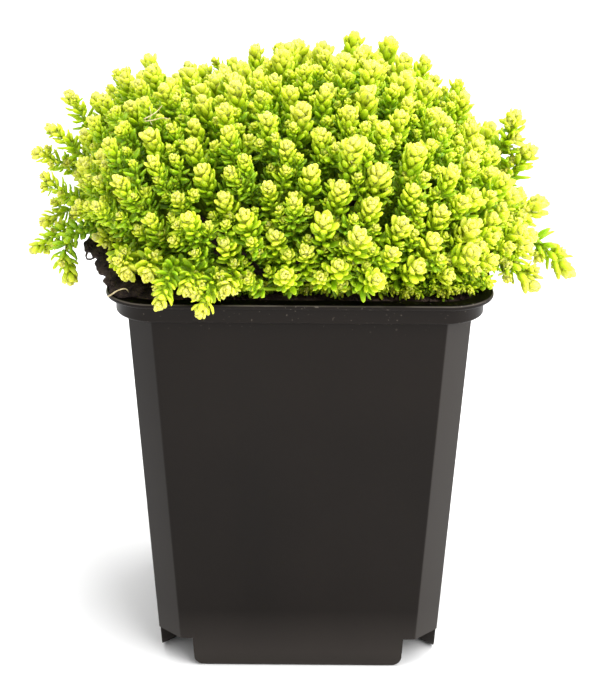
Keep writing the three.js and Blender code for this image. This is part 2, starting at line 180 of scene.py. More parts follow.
# Bud radii of the leafy heads, and how the main ones swell towards the right and open lower down
MAIN_HEAD = (1.75, 3.0)
SIDE_HEAD = (1.15, 2.1)
STRAY_HEAD = (2.25, 2.8)
LATERAL_HEAD = (1.35, 1.9)
SPRIG_HEAD = (1.1, 1.5)
MAIN_SIZE_SALT = 5
RIGHT_SWELL = 0.16
SPREADING_Z = (112, 132)

# Side heads: tried evenly over the mound and kept where there is room between their neighbours.
# Low on the front, where a direction's y and z are below THIN_FRONT, THIN_SHARE of them are dropped.
SIDE_CANDIDATES = 3200
SIDE_CROWDING = 1.17
SIDE_TIP_SINK = (0.6, 7.0)
SIDE_SIZE_POWER = 1.5
SIDE_BRANCH = 12
SIDE_BRANCH_SHARE = 0.7
SIDE_BEND = 0.55
SIDE_UPWARD = 0.6
LEAN_SCATTER = 0.35
SUNK_GREEN = 0.2
LEAF_REACH = 1.5
SOIL_REACH = 40
RIM_ROOM = 0.8
THIN_FRONT = (-0.25, 0.24)
THIN_SHARE = 0.5

# Lateral buds of a stray stem: how far below its tip, and how far out from it
LATERAL_COUNT = 3
LATERAL_FIRST = 3.6
LATERAL_STEP = 3.0
LATERAL_SCATTER = 1.4
LATERAL_LIFT = 0.5
LATERAL_REACH = (2.8, 4.6)
LATERAL_ALONG = 0.75
LATERAL_BEND = 0.45

# Sprigs: rooted in a row behind the front of the rim
SPRIG_COUNT = 34
SPRIG_X = (-14, 42)
SPRIG_DRIFT = 2
SPRIG_ROOT_Y = (-31, -35)
SPRIG_ROOT_Z = 99.3
SPRIG_TIP_Y = (-37, -40)
SPRIG_TIP_Z = (100, 103)
SPRIG_ARCH = (-2, 1)
SPRIG_GREEN = 0.22
SPRIG_WIDTH = 0.7

# Leaves: how many a head of each kind has, and how far its bud stands below the stem's end
BUD_LEAVES = {"main": 10, "stray": 10, "side": 9, "lateral": 8, "sprig": 6}
COLUMN_LEAVES = {"main": 18, "stray": 22, "side": 12, "lateral": 6, "sprig": 13}
LOWER_LEAVES = {"main": 28, "stray": 64, "side": 8, "lateral": 0, "sprig": 6}
TOP_SINK = 0.4

# Pairs go from a group's first leaf to its last, sizes are in bud radii, angles in degrees from the
# stem's way, and age is a place on the leaf's colour ramp
CORE_LENGTH = 1.15
CORE_WIDTH = (1.1, 0.85)
CORE_AGE = (0.28, 0.55)
COLUMN_CORE_BELOW = 0.9
COLUMN_CORE_LENGTH = 0.5
COLUMN_FILL = 0.6
SHORT_CORE = 0.4
BUD_BELOW = (0.1, 0.95)
BUD_CROWDING = 1.3
BUD_PUSH = 0.1
BUD_LENGTH = (0.66, 1.36)
BUD_WIDTH = (0.62, 0.84)
BUD_THICKNESS = (0.44, 0.48)
BUD_START = (20, 70)
BUD_END = (-22, 28)
BUD_END_SCATTER = 6
BUD_CUP = (0.2, 0.26)
BUD_LOOSENESS = 0.1
BUD_AGE = 0.40
SHADED_BUD_AGE = 0.1
COLUMN_TOP = 0.98
COLUMN_STEP = 0.135
COLUMN_STEP_SPREAD = 0.03
COLUMN_SCATTER = 0.5
COLUMN_PUSH = 0.12
COLUMN_LENGTH = 1.4
COLUMN_WIDTH = (0.72, 0.68)
COLUMN_THICKNESS = 0.42
COLUMN_START = (50, 66)
COLUMN_START_SPREAD = 10
COLUMN_START_SCATTER = 5
COLUMN_END = 3
COLUMN_OPENING = (10, 36)
COLUMN_END_SPREAD = 12
COLUMN_END_SCATTER = 8
COLUMN_CUP = 0.2
COLUMN_LOOSENESS = 0.12
COLUMN_AGE = (0.42, 0.82)

# The column's lengthening and narrowing, and the lower leaves' sizes, are in millimetres
COLUMN_LENGTHENING = (0.4, 0.9)
COLUMN_NARROWING = 0.15
LOWER_STEP = 0.5
STRAY_LOWER_STEP = 0.36
LOWER_SCATTER = 0.4
LOWER_FULL = 14
LOWER_ROOT_GAP = 1
LOWER_PUSH = 0.3
LOWER_LENGTH = (3.0, 2.6)
LOWER_WIDTH = (1.65, 1.5)
LOWER_THICKNESS = 1.35
LOWER_START = (76, 76)
LOWER_START_SCATTER = 8
LOWER_END = (34, 54)
LOWER_END_SCATTER = 9
LOWER_CUP = 0.1
LOWER_LOOSENESS = 0.15
LOWER_AGE = (0.72, 1.0)
STRAY_LOWER_AGE = (0.62, 0.84)

# Leaf meshes: how flat the inner side is, and a way that no stem follows
INNER_FLATNESS = 0.6
ASKEW = (0.31, 0.17, 0.94)

# Stems in the looks: radius low down, radius near the tip, sides and steps. A small one starts
# SMALL_TUBE_DEPTH below its tip, each ends INTO_BUD below it, and STEM_GROWTH is its growth colour.
LARGE_TUBE = (0.75, 0.4, 6, 8)
SMALL_TUBE = (0.5, 0.35, 4, 3)
SMALL_TUBE_DEPTH = 14
INTO_BUD = 3.5
STEM_GROWTH = (0.9, 0.5, 0.5, 1)

# Dead fibres: each has a radius and the points that it passes through
PALE_FIBRES = (
    (0.13, ((-35.9, -27, 138.5), (-34.6, -26, 138.9), (-33.2, -25, 139.6), (-32, -23, 140.5))),
    (0.13, ((-35.7, -27, 138), (-33.9, -26.5, 138.1), (-31.9, -25, 138.2), (-30.1, -24, 137.7))),
    (0.09, ((-34.7, -26, 141.1), (-34.3, -26, 139.6), (-34.5, -27, 138.3), (-34, -28, 137.4))),
    (
        0.22,
        (
            (-44.2, -38.1, 99.3), (-43.2, -39.6, 100.4), (-41.6, -40.1, 101.6),
            (-40, -39.6, 101.8), (-39.4, -39.1, 100.8),
        ),
    ),
)
DARK_ROOT = (
    0.36,
    (
        (-47.5, -5, 103.5), (-49.4, -6, 102.2), (-50.4, -6, 100.3), (-52, -6.5, 98.9),
        (-52.3, -7, 97.5), (-51, -7, 97.3), (-49.4, -7, 98.4), (-47.8, -6, 99.5),
    ),
)
FIBRE_TAPER = 0.6
FIBRE_SIDES = 6
FIBRE_STEPS = 16

# Camera, as fitted to the photograph's frame of 600 by 700 pixels
CAMERA_DISTANCE = 550
CAMERA_AZIMUTH = math.radians(0.18)
CAMERA_ELEVATION = math.radians(22.0)
CAMERA_ROLL = 0.006
CAMERA_AIM = (0, 0, 70.95)
CAMERA_LENS = 112.5
SENSOR = 36

# Studio, in metres and watts: each light's name, place, size and power
LIGHTS = (
    ("key", (0.55, -0.72, 0.80), (0.8, 0.8), 10.6),
    ("top", (0.2, 0.1, 1.0), (0.9, 0.9), 11.0),
    ("right", (0.8, -0.1, 0.15), (0.4, 0.5), 2.8),
    ("left", (-0.8, -0.6, 0.5), (0.6, 0.6), 0.8),
    ("back", (-0.5, 0.9, 0.8), (0.8, 0.8), 3.0),
)
LIGHT_AIM = (0, 0, 0.09)
WORLD_STRENGTH = 0.76
FLOOR_HALF = 2500
FLOOR_Z = -0.02

# Colours without alpha; a ramp's stops are (place, colour)
LEAF_COLOURS = (
    (0.00, (0.77, 0.73, 0.09)),
    (0.12, (0.76, 0.77, 0.15)),
    (0.24, (0.71, 0.73, 0.09)),
    (0.40, (0.62, 0.72, 0.036)),
    (0.58, (0.44, 0.61, 0.010)),
    (0.82, (0.23, 0.42, 0.005)),
    (1.00, (0.11, 0.22, 0.003)),
)
STEM_COLOURS = ((0.3, (0.17, 0.31, 0.006)), (0.7, (0.34, 0.46, 0.02)))
STALK_COLOURS = ((0.35, (0.40, 0.30, 0.15)), (0.65, (0.72, 0.62, 0.38)))
ROOT_COLOURS = ((0.35, (0.030, 0.018, 0.012)), (0.65, (0.09, 0.055, 0.035)))
SOIL_COLOURS = (
    (0.30, (0.009, 0.0063, 0.006)),
    (0.50, (0.026, 0.0175, 0.015)),
    (0.68, (0.060, 0.041, 0.031)),
)
# Painted light: the soil inside the pot, in the shade of the rim and the plant, is made lighter
SOIL_IN_POT_PAINTED_LIGHT = (2.6, 2.5, 2.6)
SOIL_PALE = (0.22, 0.15, 0.09)
PLASTIC_DARK = (0.0046, 0.0032, 0.0024)
# Lighter tone of the plastic, in random patches and in tall streaks that are painted reflections
PLASTIC_LIGHT = (0.0068, 0.0048, 0.0037)
# Painted bounce light from the floor, paler low on the pot's body
PAINTED_FLOOR_BOUNCE = (0.040, 0.034, 0.030)
# Painted sheen, paler on the body's upper part towards the collar
PAINTED_UPPER_SHEEN = (0.020, 0.015, 0.012)
# Painted reflections on the body's cut corners: more on the right one, and on the left one more towards
# the foot
PAINTED_CORNER_REFLECTION = (0.046, 0.041, 0.037)
# Painted shade: the lip's flat top, which the plant overhangs, is blacker
PAINTED_LIP_TOP_SHADE = (0.0015, 0.0011, 0.0009)
# Scuffs and a painted highlight along the lip's rounded edge
LIP_SCUFFS_AND_HIGHLIGHT = (0.085, 0.073, 0.060)
RIM_SPECKS = (0.13, 0.11, 0.09)
FLOOR_COLOURS = ((0, (0.93, 0.93, 0.93)), (1, (0.96, 0.96, 0.96)))

PLANT_SEED = 20
SOIL_SEED = 11


# Numbers and vectors


def clamp(value, low, high):
    return min(max(value, low), high)


def scatter(index, salt):
    """A repeatable number from 0 to 1 for the shoot numbered index; each use has its own salt."""
    value = math.sin(index * 12.9898 + salt * 78.233) * 43758.5453
    return value - math.floor(value)


def vec(*numbers):
    return np.array(numbers, float)


def unit(vector):
    return vector / np.linalg.norm(vector)


def between(limits, share):
    return limits[0] + (limits[1] - limits[0]) * share


# Lines that the shoots follow


class Bezier:
    """A quadratic curve from start to end, bent towards middle."""

    def __init__(self, start, middle, end):
        self.points = (start, middle, end)

    def at(self, share):
        start, middle, end = self.points
        share = np.asarray(share, float)[..., None]
        return (1 - share) ** 2 * start + 2 * (1 - share) * share * middle + share**2 * end


class CatmullRom:
    """A smooth curve through its points, in equal shares."""

    def __init__(self, points):
        before = 2 * points[0] - points[1]
        after = 2 * points[-1] - points[-2]
        self.points = np.array([before, *points, after])

    def at(self, share):
        spans = len(self.points) - 3
        place = np.asarray(share, float) * spans
        span = np.clip(np.floor(place).astype(int), 0, spans - 1)
        t = (place - span)[..., None]
        p0, p1, p2, p3 = (self.points[span + k] for k in range(4))
        v0 = 0.5 * (p2 - p0)
        v1 = 0.5 * (p3 - p1)
        return p1 + v0 * t + (3 * (p2 - p1) - 2 * v0 - v1) * t**2 + (2 * (p1 - p2) + v0 + v1) * t**3


class Stem:
    """A line measured from its tip: points and directions at a distance below the tip."""

    SAMPLES = 48

    def __init__(self, line):
        points = line.at(np.linspace(1, 0, self.SAMPLES))
        steps = np.linalg.norm(np.diff(points, axis=0), axis=1)
        self.below = np.concatenate([[0], np.cumsum(steps)])
        self.points = points
        ways = points[:-1] - points[1:]
        self.ways = np.vstack([ways, ways[-1:]]) / np.append(steps, steps[-1])[:, None]
        self.length = self.below[-1]

    def at(self, below):
        """Points and unit directions towards the tip, at the distances below the tip."""
        below = np.minimum(below, self.length)
        point = np.stack([np.interp(below, self.below, self.points[:, k]) for k in range(3)], -1)
        way = np.stack([np.interp(below, self.below, self.ways[:, k]) for k in range(3)], -1)
        return point, way / np.linalg.norm(way, axis=-1, keepdims=True)


# The plant's plan: the same roots, lines and pieces as the model's


def crown_level(x, y):
    reach = clamp(max(abs(x), abs(y)) / COLLAR_HALF, 0, 1)
    return SOIL_CROWN_Z + (SOIL_EDGE_Z - SOIL_CROWN_Z) * reach * reach


def soil_level(x, y):
    level = crown_level(x, y)
    for at, size in HEAP_LUMPS:
        inside = 1 - ((x - at[0]) / size[0]) ** 2 - ((y - at[1]) / size[1]) ** 2
        if inside > 0:
            level = max(level, at[2] + size[2] * math.sqrt(inside))
    return level


def crest_at(x):
    xs, zs = zip(*MOUND_CREST)
    return float(np.interp(x, xs, zs))


def spread_direction(index, count):
    """Direction number index of count, spread evenly over the upper half of a ball."""
    turn = index * GOLDEN_ANGLE
    up = 1 - ((1 - LOWEST_DIRECTION) * (index + 0.5)) / count
    flat = math.sqrt(1 - up * up)
    return vec(flat * math.cos(turn), flat * math.sin(turn), up)


def boxy(a, b):
    """How far a point of the unit circle moves out to lie on a rounded square."""
    power = MOUND_SQUARENESS
    return (abs(a) ** power + abs(b) ** power) ** (-1 / power)


def mound_point(direction):
    x, y, z = direction
    ring = math.hypot(y, z)
    along = MOUND_HALF_X * x * boxy(x, ring)
    depth = ring * boxy(x, ring) * (MOUND_FRONT if y < 0 else MOUND_BACK)
    rise = crest_at(along) - MOUND_WAIST_Z
    square = boxy(y / ring, z / ring)
    return vec(along, depth * y / ring * square, MOUND_WAIST_Z + rise * z / ring * square)


def root_at(x, y):
    return vec(x, y, soil_level(x, y) + ROOT_CROWN)


def clump_root(direction):
    top = mound_point(direction)
    return root_at(top[0] * ROOT_SPREAD_X, top[1] * ROOT_SPREAD_Y)


def shoot_line(root, direction, index):
    """The line of one shoot of the mound, from its root to its tip."""
    tip = mound_point(direction)
    out = unit(tip - vec(0, 0, FAN_Z))
    lean = unit(out + vec(0, 0, UPWARD_LEAN))
    tip = tip + out * TIP_SCATTER * (scatter(index, 1) - TIP_SINK)
    bend = clamp(BEND_SHARE * np.linalg.norm(tip - root), BEND_LEAST, BEND_MOST)
    middle = tip - lean * bend
    clear = HEAP_CLEAR_Z if middle[0] < HEAP_SIDE_X else RIM_CLEAR_Z
    if max(abs(middle[0]), abs(middle[1])) > OVER_RIM:
        middle[2] = max(middle[2], clear)
    if max(abs(tip[0]), abs(tip[1])) < LIP_HALF + 2 * HEAD_RADIUS:
        tip[2] = max(tip[2], clear)
    return Bezier(root, middle, tip)


def stray_line(points):
    return CatmullRom([root_at(*points[0])] + [vec(*point) for point in points[1:]])


BEAD_SHARES = np.arange(1, BEAD_COUNT + 1) / BEAD_COUNT
BEAD_SWELLING = np.clip((BEAD_SHARES - BEAD_SWELL_START) / BEAD_SWELL_LENGTH, 0, 1)
BEAD_RADII = STEM_RADIUS + (HEAD_RADIUS - STEM_RADIUS) * BEAD_SWELLING


def room_between(beads, others):
    """The least room between one shoot's beads and those of several others."""
    apart = np.linalg.norm(beads[None, :, None] - others[:, None, :], axis=-1)
    return (apart - BEAD_RADII[None, :, None] - BEAD_RADII[None, None, :]).min()


def is_bare(direction):
    """Whether no shoot of the mound grows that way: over the front of the rim and its left corner."""
    x, y, z = direction
    front = x > BARE_FRONT[0] and y < BARE_FRONT[1] and z < BARE_FRONT[2]
    corner = x < BARE_CORNER[0] and y < BARE_CORNER[1] and z < BARE_CORNER[2]
    return front or corner


def plant_plan():
    """The plant's pieces, as two dicts from node name to the lines of its shoots: tufts, strays."""
    strays = {"stray_stem_" + name: [stray_line(points)] for name, points in STRAYS}
    heads = np.array([spread_direction(k, CLUMP_COUNT) for k in range(CLUMP_COUNT)])
    roots = [clump_root(direction) for direction in heads]
    lines = [[] for _ in roots]
    grown = [(name, stray.at(BEAD_SHARES)) for name, (stray,) in strays.items()]
    for i in range(SHOOT_COUNT):
        direction = spread_direction(i, SHOOT_COUNT)
        best = int(np.argmax(heads @ direction))
        line = shoot_line(roots[best], direction, i)
        beads = line.at(BEAD_SHARES)
        others = np.array([other for owner, other in grown if owner != best])
        if room_between(beads, others) >= SHOOT_CLEAR and not is_bare(direction):
            lines[best].append(line)
            grown.append((best, beads))
    tufts = [members for members in lines if members]
    clumps = {"mound_clump_%02d" % (k + 1): members for k, members in enumerate(tufts)}
    return clumps, strays


# Heads: the leafy ends of the main lines, and of the side branches that fill the mound


class Head:
    """A leafy shoot end: its stem, its bud, its kind, how green it is and how far its leaves spread."""

    def __init__(self, line, radius, kind, green=0.0):
        tip_x, _, tip_z = line.at(1.0)
        low, high = SPREADING_Z
        self.stem = Stem(line)
        self.radius = radius * (1 + RIGHT_SWELL * tip_x / MOUND_HALF_X)
        self.kind = kind
        self.green = green
        level = clamp((high - tip_z) / (high - low), 0, 1)
        self.spread = 1.0 if kind in ("stray", "lateral", "sprig") else level
        self.large = kind in ("main", "stray")
        self.slender = SPRIG_WIDTH if kind == "sprig" else 1
        self.top = TOP_SINK * self.radius
        self.step = (COLUMN_STEP + COLUMN_STEP_SPREAD * self.spread) * self.radius
        self.column = self.step * COLUMN_LEAVES[kind]

    def turn(self, rng):
        """Draws where its spiral of leaves starts, and its shade of green."""
        self.first_turn = rng.random() * 2 * math.pi
        self.tone = rng.random()


def mound_heads(clumps, strays, rng):
    """The main heads, and side branches in the room between them; gives (node, Head) pairs."""
    mains = [(name, line) for name, lines in clumps.items() for line in lines]
    tips = np.array([line.points[-1] for name, line in mains])
    stray_tips = np.array([line.at(1.0) for lines in strays.values() for line in lines])
    placed = list(tips) + list(stray_tips)
    radii = []
    found = []
    for k, (name, line) in enumerate(mains):
        radii.append(between(MAIN_HEAD, scatter(k, MAIN_SIZE_SALT)))
        found.append((name, Head(line, radii[-1], "main")))
    radii += [STRAY_HEAD[1]] * len(stray_tips)
    for number in rng.permutation(SIDE_CANDIDATES):
        direction = spread_direction(int(number), SIDE_CANDIDATES)
        low_front = direction[1] < THIN_FRONT[0] and direction[2] < THIN_FRONT[1]
        if is_bare(direction) or (low_front and rng.random() < THIN_SHARE):
            continue
        tip = mound_point(direction)
        out = unit(tip - vec(0, 0, FAN_Z))
        sunk = rng.random()
        tip = tip - out * between(SIDE_TIP_SINK, sunk)
        radius = between(SIDE_HEAD, rng.random() ** SIDE_SIZE_POWER)
        over_soil = max(abs(tip[0]), abs(tip[1])) < SOIL_REACH - LEAF_REACH * radius
        over_rim = tip[2] > POT_HEIGHT + RIM_ROOM + LEAF_REACH * radius
        apart = np.linalg.norm(np.array(placed) - tip, axis=1)
        crowded = (apart < SIDE_CROWDING * (np.array(radii) + radius)).any()
        if crowded or not (over_soil or over_rim):
            continue
        nearest = int(np.argmin(np.linalg.norm(tips - tip, axis=1)))
        name, line = mains[nearest]
        main = Stem(line)
        branch = clamp(SIDE_BRANCH, 0, SIDE_BRANCH_SHARE * main.length)
        start = main.at(vec(branch))[0][0]
        lean = unit(out + vec(0, 0, SIDE_UPWARD) + LEAN_SCATTER * rng.normal(size=3))
        middle = tip - lean * SIDE_BEND * np.linalg.norm(tip - start)
        found.append((name, Head(Bezier(start, middle, tip), radius, "side", SUNK_GREEN * sunk)))
        placed.append(tip)
        radii.append(radius)
    return found


def sprig_heads(clumps, rng):
    """Slender green sprigs that creep over the soil towards the front of the rim."""
    mains = [(name, line.points[-1]) for name, lines in clumps.items() for line in lines]
    tips = np.array([tip for name, tip in mains])
    found = []
    for number in range(SPRIG_COUNT):
        x = between(SPRIG_X, (number + rng.random()) / SPRIG_COUNT)
        start = vec(x, between(SPRIG_ROOT_Y, rng.random()), SPRIG_ROOT_Z)
        drift = SPRIG_DRIFT * rng.normal()
        tip = vec(x + drift, between(SPRIG_TIP_Y, rng.random()), between(SPRIG_TIP_Z, rng.random()))
        middle = vec(x, start[1] + SPRIG_ARCH[0], tip[2] + SPRIG_ARCH[1])
        name = mains[int(np.argmin(np.linalg.norm(tips - tip, axis=1)))][0]
        radius = between(SPRIG_HEAD, rng.random())
        found.append((name, Head(Bezier(start, middle, tip), radius, "sprig", SPRIG_GREEN)))
    return found


def stray_heads(strays, rng):
    """The heads of the stray stems, each with a few lateral buds close below it."""
    found = []
    for name, (line,) in strays.items():
        stem = Stem(line)
        found.append((name, Head(line, between(STRAY_HEAD, rng.random()), "stray")))
        for j in range(LATERAL_COUNT):
            below = vec(LATERAL_FIRST + LATERAL_STEP * j + LATERAL_SCATTER * rng.random())
            start, way = stem.at(below)
            side = unit(np.cross(way[0], rng.normal(size=3)))
            side = unit(side + vec(0, 0, LATERAL_LIFT))
            reach = between(LATERAL_REACH, rng.random())
            tip = start[0] + unit(LATERAL_ALONG * way[0] + side) * reach
            bud = Bezier(start[0], start[0] + side * LATERAL_BEND * reach, tip)
            found.append((name, Head(bud, between(LATERAL_HEAD, rng.random()), "lateral")))
    return found


# Faces between rings of points


def band_faces(first, count, bands):
    """Faces of the bands between rings of count points each, numbered on from first."""
    faces = []
    for low in range(first, first + bands * count, count):
        for k in range(count):
            after = (k + 1) % count
            faces.append((low + k, low + after, low + count + after, low + count + k))
    return faces


def spindle_faces(count, rings):
    """Faces over a first point, rings of count points each, and a last point."""
    last = 1 + (rings - 1) * count
    faces = [(0, 1 + (k + 1) % count, 1 + k) for k in range(count)]
    faces += band_faces(1, count, rings - 1)
    faces += [(last + k, last + (k + 1) % count, last + count) for k in range(count)]
    return faces


# Leaves


class LeafShape:
    """The mesh pattern of one leaf: rings of points between a base point and a tip point."""

    def __init__(self, sides, stations, widths):
        self.sides = sides
        self.stations = np.array(stations)
        self.widths = np.array(widths)
        turn = 2 * math.pi * np.arange(sides) / sides
        self.across = np.cos(turn)
        lift = np.sin(turn)
        self.lift = np.where(lift > 0, lift, INNER_FLATNESS * lift)
        self.count = 2 + sides * len(stations)
        self.faces = spindle_faces(sides, len(stations))


BUD_LEAF = LeafShape(6, (0.16, 0.55, 0.88), (0.70, 1.0, 0.66))
COLUMN_LEAF = LeafShape(5, (0.16, 0.58, 0.88), (0.70, 1.0, 0.66))
SMALL_LEAF = LeafShape(5, (0.3, 0.8), (0.92, 0.85))
LOWER_LEAF = LeafShape(4, (0.3, 0.75), (0.95, 0.7))


def renumbered(faces, offset):
    return [tuple(offset + corner for corner in face) for face in faces]


class Foliage:
    """Collects the leaves of one piece, by leaf shape, and turns them into mesh arrays."""

    def __init__(self):
        self.rows = {}

    def add(self, shape, **values):
        self.rows.setdefault(shape, []).append(values)

    def mesh(self):
        vertices, faces, growth = [], [], []
        offset = 0
        for shape, rows in self.rows.items():
            made = {key: np.concatenate([row[key] for row in rows]) for key in rows[0]}
            points, shares = leaf_points(shape, made)
            clear = ~meets_pot(points)
            points = points[clear]
            count = len(points)
            colours = np.ones((count, shape.count, 4))
            colours[:, :, 0] = made["age"][clear, None]
            colours[:, :, 1] = shares
            colours[:, :, 2] = made["tone"][clear, None]
            vertices.append(points.reshape(-1, 3))
            growth.append(colours.reshape(-1, 4))
            for k in range(count):
                faces.extend(renumbered(shape.faces, offset + k * shape.count))
            offset += count * shape.count
        return vertices, faces, growth, offset


def meets_pot(points):
    """Whether each leaf has a point in the pot's wall, collar or lip."""
    beyond = np.maximum(np.abs(points[..., :2]) - (COLLAR_HALF - COLLAR_RADIUS), 0)
    out = np.linalg.norm(beyond, axis=-1) - COLLAR_RADIUS
    in_wall = (out > -WALL - GAP) & (out < LIP_HALF - COLLAR_HALF) & (points[..., 2] < POT_HEIGHT)
    return in_wall.any(axis=1)


def leaf_points(shape, leaf):
    """Vertices of many leaves at once, and each vertex's share of the way along its leaf."""
    stations = np.concatenate([[0.0], shape.stations, [1.0]])
    start = leaf["start_angle"][:, None]
    turn = leaf["end_angle"][:, None] - start
    turn = np.where(np.abs(turn) < 1e-3, 1e-3, turn)
    angle = start + turn * stations
    length = leaf["length"][:, None]
    rise = length * (np.sin(angle) - np.sin(start)) / turn
    reach = length * (np.cos(start) - np.cos(angle)) / turn
    axis, out, side = leaf["axis"][:, None], leaf["out"][:, None], leaf["side"][:, None]
    centre = leaf["base"][:, None] + rise[..., None] * axis + reach[..., None] * out
    belly = -np.sin(angle)[..., None] * axis + np.cos(angle)[..., None] * out
    count, rings, sides = len(length), len(shape.stations), shape.sides
    points = np.empty((count, shape.count, 3))
    points[:, 0] = centre[:, 0]
    points[:, -1] = centre[:, -1]
    for ring in range(rings):
        half = 0.5 * leaf["width"][:, None] * shape.widths[ring]
        thick = 0.5 * leaf["thickness"][:, None] * shape.widths[ring]
        across = half * shape.across
        lift = thick * shape.lift - leaf["cup"][:, None] * half * shape.across**2
        section = across[..., None] * side + lift[..., None] * belly[:, None, ring + 1]
        first = 1 + ring * sides
        points[:, first : first + sides] = centre[:, None, ring + 1] + section
    shares = np.concatenate([[0.0], np.repeat(shape.stations, sides), [1.0]])
    return points, shares


def leaf_frames(stem, below, turns):
    """Points on the stem, and for each the stem's way, the way out at that turn, and the side."""
    point, way = stem.at(below)
    across = np.cross(way, vec(*ASKEW))
    across /= np.linalg.norm(across, axis=1, keepdims=True)
    ahead = np.cross(way, across)
    out = np.cos(turns)[:, None] * across + np.sin(turns)[:, None] * ahead
    side = np.cross(out, way)
    return point, way, out, side


def add_leaves(foliage, shape, head, below, number, push, **values):
    """Adds leaves by their numbers in the spiral; push sets each base out from the stem's line."""
    turns = head.first_turn + GOLDEN_ANGLE * number
    point, way, out, side = leaf_frames(head.stem, below, turns)
    count = len(below)
    values = {key: np.broadcast_to(value, count).astype(float) for key, value in values.items()}
    values["tone"] = np.full(count, head.tone)
    foliage.add(shape, base=point + out * push, axis=way, out=out, side=side, **values)


def scattered(limits, share, degrees, rng):
    """Angles in radians that go from one limit to the other, each off by a few degrees."""
    return np.radians(between(limits, share) + degrees * rng.normal(size=len(share)))


def grow_core(foliage, head):
    """Two plain leaves along the stem that close the bud and the column against the light."""
    radius = head.radius
    column = head.column if head.kind in ("main", "side") else SHORT_CORE * head.column
    filled = COLUMN_FILL * column
    add_leaves(
        foliage,
        BUD_LEAF,
        head,
        below=head.top + vec(CORE_LENGTH * radius, COLUMN_CORE_BELOW * radius + filled),
        number=vec(0, 0),
        push=0,
        length=vec(CORE_LENGTH * radius, COLUMN_CORE_LENGTH * radius + filled),
        width=vec(*CORE_WIDTH) * radius,
        thickness=vec(*CORE_WIDTH) * radius,
        start_angle=0,
        end_angle=0,
        cup=0,
        age=vec(*CORE_AGE) + head.green,
    )


def grow_bud(foliage, head, rng):
    """The incurved leaves at the tip, from the innermost to the outermost."""
    radius = head.radius
    count = BUD_LEAVES[head.kind]
    share = np.arange(count) / (count - 1)
    loose = 1 + BUD_LOOSENESS * rng.normal(size=count)
    young = 0 if head.kind in ("stray", "lateral") else SHADED_BUD_AGE
    add_leaves(
        foliage,
        BUD_LEAF if head.large else SMALL_LEAF,
        head,
        below=head.top + radius * between(BUD_BELOW, share**BUD_CROWDING),
        number=np.arange(count),
        push=BUD_PUSH * radius,
        length=radius * between(BUD_LENGTH, share) * loose,
        width=radius * between(BUD_WIDTH, share) * loose * head.slender,
        thickness=radius * between(BUD_THICKNESS, share),
        start_angle=np.radians(between(BUD_START, share)),
        end_angle=scattered(BUD_END, share, BUD_END_SCATTER, rng),
        cup=between(BUD_CUP, share),
        age=between((young, BUD_AGE), share) + head.green,
    )


def grow_column(foliage, head, rng):
    """The ascending leaves close below the bud, which open more on the low shoots."""
    radius, spread = head.radius, head.spread
    count = COLUMN_LEAVES[head.kind]
    number = np.arange(count)
    share = number / max(count - 1, 1)
    loose = 1 + COLUMN_LOOSENESS * rng.normal(size=count)
    start = head.top + radius * COLUMN_TOP
    opened = vec(*COLUMN_START) + COLUMN_START_SPREAD * spread
    wide = between(COLUMN_WIDTH, spread) * radius - COLUMN_NARROWING * share
    closed = vec(COLUMN_END, COLUMN_END + between(COLUMN_OPENING, spread)) + COLUMN_END_SPREAD * spread
    add_leaves(
        foliage,
        COLUMN_LEAF if head.large else SMALL_LEAF,
        head,
        below=start + head.step * (number + COLUMN_SCATTER * rng.random(count)),
        number=BUD_LEAVES[head.kind] + number,
        push=COLUMN_PUSH * radius,
        length=(COLUMN_LENGTH * radius + between(COLUMN_LENGTHENING, spread) * share) * loose,
        width=wide * loose * head.slender,
        thickness=COLUMN_THICKNESS * radius,
        start_angle=scattered(opened, share, COLUMN_START_SCATTER, rng),
        end_angle=scattered(closed, share, COLUMN_END_SCATTER, rng),
        cup=COLUMN_CUP,
        age=between(COLUMN_AGE, share) + head.green,
    )


def grow_lower_leaves(foliage, head, rng):
    """The looser, greener leaves further down the stem."""
    stray = head.kind == "stray"
    number = np.arange(LOWER_LEAVES[head.kind])
    start = head.top + head.radius * COLUMN_TOP + head.column
    step = STRAY_LOWER_STEP if stray else LOWER_STEP
    below = start + step * (number + LOWER_SCATTER * rng.random(len(number)))
    number = number[below < head.stem.length - LOWER_ROOT_GAP]
    count = len(number)
    if count == 0:
        return
    share = np.clip(number / LOWER_FULL, 0, 1)
    loose = 1 + LOWER_LOOSENESS * rng.normal(size=count)
    add_leaves(
        foliage,
        COLUMN_LEAF if stray else LOWER_LEAF,
        head,
        below=below[:count],
        number=BUD_LEAVES[head.kind] + COLUMN_LEAVES[head.kind] + number,
        push=LOWER_PUSH,
        length=between(LOWER_LENGTH, share) * loose,
        width=between(LOWER_WIDTH, share) * loose,
        thickness=LOWER_THICKNESS,
        start_angle=scattered(LOWER_START, share, LOWER_START_SCATTER, rng),
        end_angle=scattered(LOWER_END, share, LOWER_END_SCATTER, rng),
        cup=LOWER_CUP,
        age=between(STRAY_LOWER_AGE if stray else LOWER_AGE, share),
    )


def grow_head(foliage, head, rng):
    """Grows all the leaves of one head."""
    head.turn(rng)
    grow_core(foliage, head)
    grow_bud(foliage, head, rng)
    grow_column(foliage, head, rng)
    grow_lower_leaves(foliage, head, rng)


